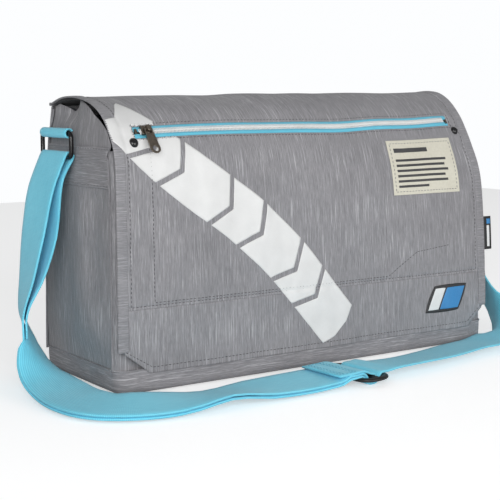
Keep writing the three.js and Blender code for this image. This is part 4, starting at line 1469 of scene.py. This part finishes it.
def skin(x, s):
    """Height of the flap's outermost cloth above its panel."""
    if s > S_SEAM - 0.2:
        return 0.25
    over = abs(x) - HALF + STRIP
    if over > -0.6:
        return (STRIP_LIFT + 0.35 * math.sin(math.pi * clamp(over / STRIP))) * smooth((over + 0.6) / 0.6)
    return 0.0


def along_print(u):
    """A place on the print's middle line, as x and distance down the flap."""
    travelled = 0.0
    for a, b in zip(PRINT_CENTRE, PRINT_CENTRE[1:]):
        step = math.dist(a, b)
        if u <= travelled + step or b is PRINT_CENTRE[-1]:
            t = (u - travelled) / step
            return lerp(a[0], b[0], t), lerp(a[1], b[1], t)
        travelled += step


def print_middle(u):
    """The same, with the line's corners rounded off."""
    near = along_print(max(u - 16, 0)), along_print(u), along_print(min(u + 16, PRINT_LENGTH))
    return tuple((a + 2 * b + c) / 4 for a, b, c in zip(*near))


def print_place(u, v):
    """A place on the flap from a distance along the print and one across it."""
    x0, s0 = print_middle(max(u - 2, 0))
    x1, s1 = print_middle(min(u + 2, PRINT_LENGTH))
    size = math.hypot(x1 - x0, s1 - s0)
    x, s = print_middle(clamp(u, 0, PRINT_LENGTH))
    return x - (s1 - s0) / size * v, s + (x1 - x0) / size * v


def print_blocks():
    """Where the blocks of the print start and end along it."""
    blocks, start = [], 4.0
    for span in PRINT_SPANS:
        if start < PRINT_LENGTH - 14:
            end = min(start + span, PRINT_LENGTH - 1)
            blocks.append((start, end))
            start = end + PRINT_GAP
    return blocks


def takes_print(corners):
    """True on the flap's face, clear of its sides, its hem and the zip."""
    x, s = (sum(values) / 4 for values in zip(*corners))
    in_slot = ZIP_LEFT - 1.2 < x < ZIP_RIGHT and abs(s - S_ZIP) < SLOT_HALF + 1.0
    return abs(x) < HALF - 0.6 and s < S_HEM - 1 and not in_slot


def make_print():
    """A bold white run of chevrons that crosses the flap on the slant."""
    rows = [-PRINT_HALF + i * PRINT_STEP for i in range(int(2 * PRINT_HALF / PRINT_STEP) + 1)]
    vertices, cloth, faces = [], [], []
    for start, end in print_blocks():
        count = max(2, round((end - start) / PRINT_STEP))
        flat, index = {}, {}
        for i in range(count + 1):
            for j, v in enumerate(rows):
                u = lerp(start, end, i / count) - 0.55 * (abs(v) - PRINT_HALF / 2)
                flat[(i, j)] = print_place(clamp(u, 0, PRINT_LENGTH), v)
        cells, edges = [], set()
        for i in range(count):
            for j in range(len(rows) - 1):
                ring = [(i, j), (i + 1, j), (i + 1, j + 1), (i, j + 1)]
                if takes_print([flat[key] for key in ring]):
                    cells.append(ring)
                    edges |= set(zip(ring, ring[1:] + ring[:1]))
        for side, lift in ((0, 0.34), (1, 0.04)):
            for key in {c for edge in edges for c in edge}:
                x, s = flat[key]
                index[(side, key)] = len(vertices)
                vertices.append(flap(x, s, skin(x, s) + lift))
                cloth.append((x, s, 0))
        for ring in cells:
            faces.append([index[(0, key)] for key in ring[1:] + ring[:1]])
            faces.append([index[(1, key)] for key in ring[:1] + ring[:0:-1]])
        for a, b in edges:
            if (b, a) not in edges:
                faces.append([index[(0, b)], index[(0, a)], index[(1, a)], index[(1, b)]])
    finish_piece("flap_print", vertices, faces, "flap_front", "print_white", cloth)


def patch(name, x_range, s_range, height, thickness, material, skew=0.0, soft=0.0, step=3.0, **facts):
    """A flat piece sewn or moulded on the flap, with corners softened by `soft` and a skewed outline."""
    middle_x, middle_s = (sum(r) / 2 for r in (x_range, s_range))
    half_x, half_s = (abs(r[1] - r[0]) / 2 for r in (x_range, s_range))

    def surface(a, b, h):
        x = a * math.sqrt(1 - soft * (b / half_s) ** 2) if soft else a
        s = b * math.sqrt(1 - soft * (a / half_x) ** 2) if soft else b
        return flap(middle_x + x - skew * s, middle_s + s, h + height)

    us, vs = lines(-half_x, half_x, step), lines(-half_s, half_s, step)
    return sheet_piece(name, "flap_front", material, us, vs, surface, thickness, **facts)


def make_label():
    x_range = (92, 178)
    s_range = (distance_of(5.7) + 2, distance_of(7.27) + 3)
    lift = 0.75
    patch("label_patch", x_range, s_range, lift, 0.6, "label_cotton", stands_for=("label_patch",))
    border = 3.2
    (x0, x1), (s0, s1) = x_range, s_range
    left, right, upper, lower = x0 + border, x1 - border, s0 + border, s1 - border
    corners = [(left, upper), (right, upper), (right, lower), (left, lower)]
    routes = list(zip(corners, corners[1:] + corners[:1]))
    stitch_lines("label_stitching", "flap_front", routes, on_flap(lift), material="thread")
    tall = s1 - s0
    rows = [(0.15 * tall, 44, 4.2)]
    rows += [((0.36 + 0.095 * k) * tall, wide, 1.3) for k, wide in enumerate((66, 63, 67, 62, 65, 38))]
    first = x0 + 7
    for k, (down, wide, thick) in enumerate(rows):
        place = (first, first + wide), (s0 + down, s0 + down + thick)
        patch(f"label_line_{k}", *place, lift + 0.14, 0.1, "board", step=4)


def make_badge():
    x0, x1 = 133, 178
    s0, s1 = distance_of(SEAM + 0.16), distance_of(SEAM + 0.6)
    skew = 12 / (s1 - s0)
    patch("badge", (x0, x1), (s0, s1), 1.7, 1.5, "badge_black", skew=skew, soft=0.12, stands_for=("badge",))
    rim, gap = 3.0, 1.6
    split = lerp(x0, x1, 0.36)
    s_range = (s0 + rim, s1 - rim)
    for name, x_range, material in (
        ("badge_light", (x0 + rim, split), "badge_white"),
        ("badge_blue", (split + gap, x1 - rim), "badge_rubber"),
    ):
        patch(name, x_range, s_range, 2.0, 0.6, material, skew=skew, soft=0.04, step=2)


def make_side_tag():
    s0, s1 = distance_of(7.86), distance_of(8.56)
    x0, x1 = HALF - 0.5, HALF + 11

    def place(a, s, h):
        fold = 0.9 * smooth((a - x1 + 2.5) / 2.5)
        base = flap(min(a, HALF), s, 0)
        ahead = (a - HALF) if a > HALF else 0
        return Vector((base.x + ahead, base.y - 0.3 - h + fold, base.z))

    for name, xs, ss, lift, material, facts in (
        ("side_tag", (x0, x1), (s0, s1), 0.0, "black_plastic", {"stands_for": ("side_tag",)}),
        ("side_tag_stripe", (HALF + 3.6, HALF + 7), (s0 + 9, s1 - 3), 0.16, "badge_white", {}),
        ("side_tag_square", (HALF + 3.6, HALF + 8.6), (s0 + 2.5, s0 + 7.6), 0.16, "badge_rubber", {}),
    ):
        sheet_piece(
            name, "flap_front", material, lines(*xs, 2), lines(*ss, 3),
            lambda a, s, h, lift=lift: place(a, s, h + lift), 1.0 if facts else 0.12, **facts,
        )


def turned(name, body, material, frame, profile, sides=28, **facts):
    """A turned piece: a profile of (radius, height) turned about the frame's normal."""
    point, along, down, out = frame
    vertices = [
        point + along * a + down * b + out * height
        for radius, height in profile
        for a, b in circle(radius, sides)
    ]
    faces = tube_faces(0, len(profile), sides)
    return finish_piece(name, vertices, faces, body, material, **facts)


def make_rivets():
    for side, x, station in (("left", -189, 5.47), ("right", 191, 5.5)):
        frame_here = flap_frame(x, distance_of(station))
        angles = [math.pi / 2 * 0.96 * k / 9 for k in range(10)]
        dome = [(3.9 * math.cos(angle), 0.5 + 2.3 * math.sin(angle)) for angle in angles]
        profile = [(3.6, -0.1), (4.2, 0.0), (4.3, 0.3)] + dome
        washer = [(1.2, -4.6), (4.1, -4.5), (4.3, -4.1), (3.9, -3.9), (0.9, -3.9)]
        for name, outline in ((f"rivet_{side}", profile), (f"rivet_washer_{side}", washer)):
            turned(name, "flap_front", "black_metal", frame_here, outline, stands_for=(name,))


def bevelled(name, body, material, width):
    """A hard piece with the CAD's shape and rounded edges."""
    source = nodes[name]
    mesh = source.data.copy()
    mesh.name = f"{name}_edged"
    mesh.transform(source.matrix_world)
    shape = bmesh.new()
    shape.from_mesh(mesh)
    bmesh.ops.remove_doubles(shape, verts=shape.verts, dist=0.00002)
    bmesh.ops.dissolve_limit(shape, angle_limit=math.radians(2), verts=shape.verts, edges=shape.edges)
    sharp = [e for e in shape.edges if len(e.link_faces) == 2 and e.calc_face_angle(0) > math.radians(40)]
    bmesh.ops.bevel(
        shape, geom=sharp, offset=width * MM, segments=2, affect="EDGES", profile=0.6, clamp_overlap=True,
    )
    shape.to_mesh(mesh)
    shape.free()
    mesh.polygons.foreach_set("use_smooth", [True] * len(mesh.polygons))
    mesh.set_sharp_from_angle(angle=math.radians(35))
    mesh.materials.clear()
    place_mesh(f"{name}_edged", mesh, body, material, (name,))


def make_hinge_seam():
    """The sewn edge where the flap joins the back."""
    frames = []
    for k in range(71):
        x = lerp(-HALF + 0.8, HALF - 0.8, k / 70)
        sag = 0.15 * wave_noise(x / 9, 0, 31)
        frames.append((Vector((x, HINGE_Y + 0.4, HINGE_Z + sag)), Vector((0, 1, 0)), Vector((0, 0, 1))))
    swept("hinge_seam", "bag", "fabric_grey", frames, round_section(1.5, 10))


def make_hidden_layers():
    """Foam in the back, and the strap tabs' tails between side panel and lining."""
    def padding(u, z, h):
        wavy = 0.5 * wave_noise(u / 30, z / 30, 33)
        return Vector((u, back_y(z) - 1.9 + wavy * 0.4 + h, z))

    foam = sheet_piece(
        "back_padding", "bag", "foam", lines(-190, 190, 12)[::-1], lines(24, 216, 10)[::-1], padding, 2.2,
        stands_for=("back_padding",),
    )
    for side, sign in (("left", -1), ("right", 1)):
        us = lines(TAB_Y - WEBBING_WIDTH / 2, TAB_Y + WEBBING_WIDTH / 2, 4)
        us = us if sign > 0 else us[::-1]

        def tail(y, z, h, sign=sign):
            return Vector((sign * (HALF - 3.4 + side_bulge(sign, y, z) * 0.6 + h), y, z))

        sheet_piece(
            f"strap_anchor_{side}", "bag", "webbing", us, lines(177, 221, 5)[::-1], tail, 1.4,
            stands_for=(f"strap_anchor_{side}",),
        )


def make_strap_stitching():
    """Rows of stitches that hold the sewn tail and the end turned back through the right ring."""
    def on_tail(lift):
        def place(v, along):
            point, tangent, across, inward = strap_frame(ADJUSTER_AT)
            height = table_value(SEWN_TAIL, along)
            return point + inward * (height + lift) + tangent * along + across * v, inward
        return place

    rows = [((-22, along), (22, along)) for along in (-34, -31, -20, -17)]
    rows += [((v, -34), (v, -17)) for v in (-22, 22)]
    stitch_lines("strap_tail_stitching", "strap", rows, on_tail(WEBBING / 2 + 0.15), material="zip_tape")

    def on_end(v, index):
        point, _, across, inward = strap_frame(index)
        return point + inward * (spread(index, ROUTE_LAST) + WEBBING / 2 + 0.15) + across * v, inward

    vertices, cloth, faces = [], [], []
    for index in (ROUTE_LAST - 1.7, ROUTE_LAST - 1.62, ROUTE_LAST - 1.2):
        for k in range(12):
            a, out = on_end(-22 + 3.7 * k, index)
            b, _ = on_end(-22 + 3.7 * k + STITCH, index)
            add_stitch(vertices, cloth, faces, a, b, out)
    finish_piece("strap_end_stitching", vertices, faces, "strap", "zip_tape", cloth)


# ---- everything ----
make_camera()
make_studio()
make_materials()
for node in frame["record"]["subparts"]:
    data = nodes[node["node"]].data
    data.materials.clear()
    data.materials.append(materials[node["material_slot"]])
make_flap_panel()
make_lower_band()
make_edge_strips()
make_flap_lining()
make_zip_pocket()
make_flap_stitching()
make_zip()
make_sides()
make_front()
make_back()
make_base()
make_seams()
make_lining()
make_inner_pocket()
make_fasteners()
make_strap()
make_print()
make_label()
make_badge()
make_side_tag()
make_rivets()
make_hinge_seam()
make_hidden_layers()
make_strap_stitching()
for hardware in ("zip_stop_left", "zip_stop_right"):
    bevelled(hardware, "flap_front", "gunmetal", 0.2)
bevelled("zip_slider", "slider", "gunmetal", 0.3)
bevelled("zip_puller", "puller", "gunmetal", 0.3)
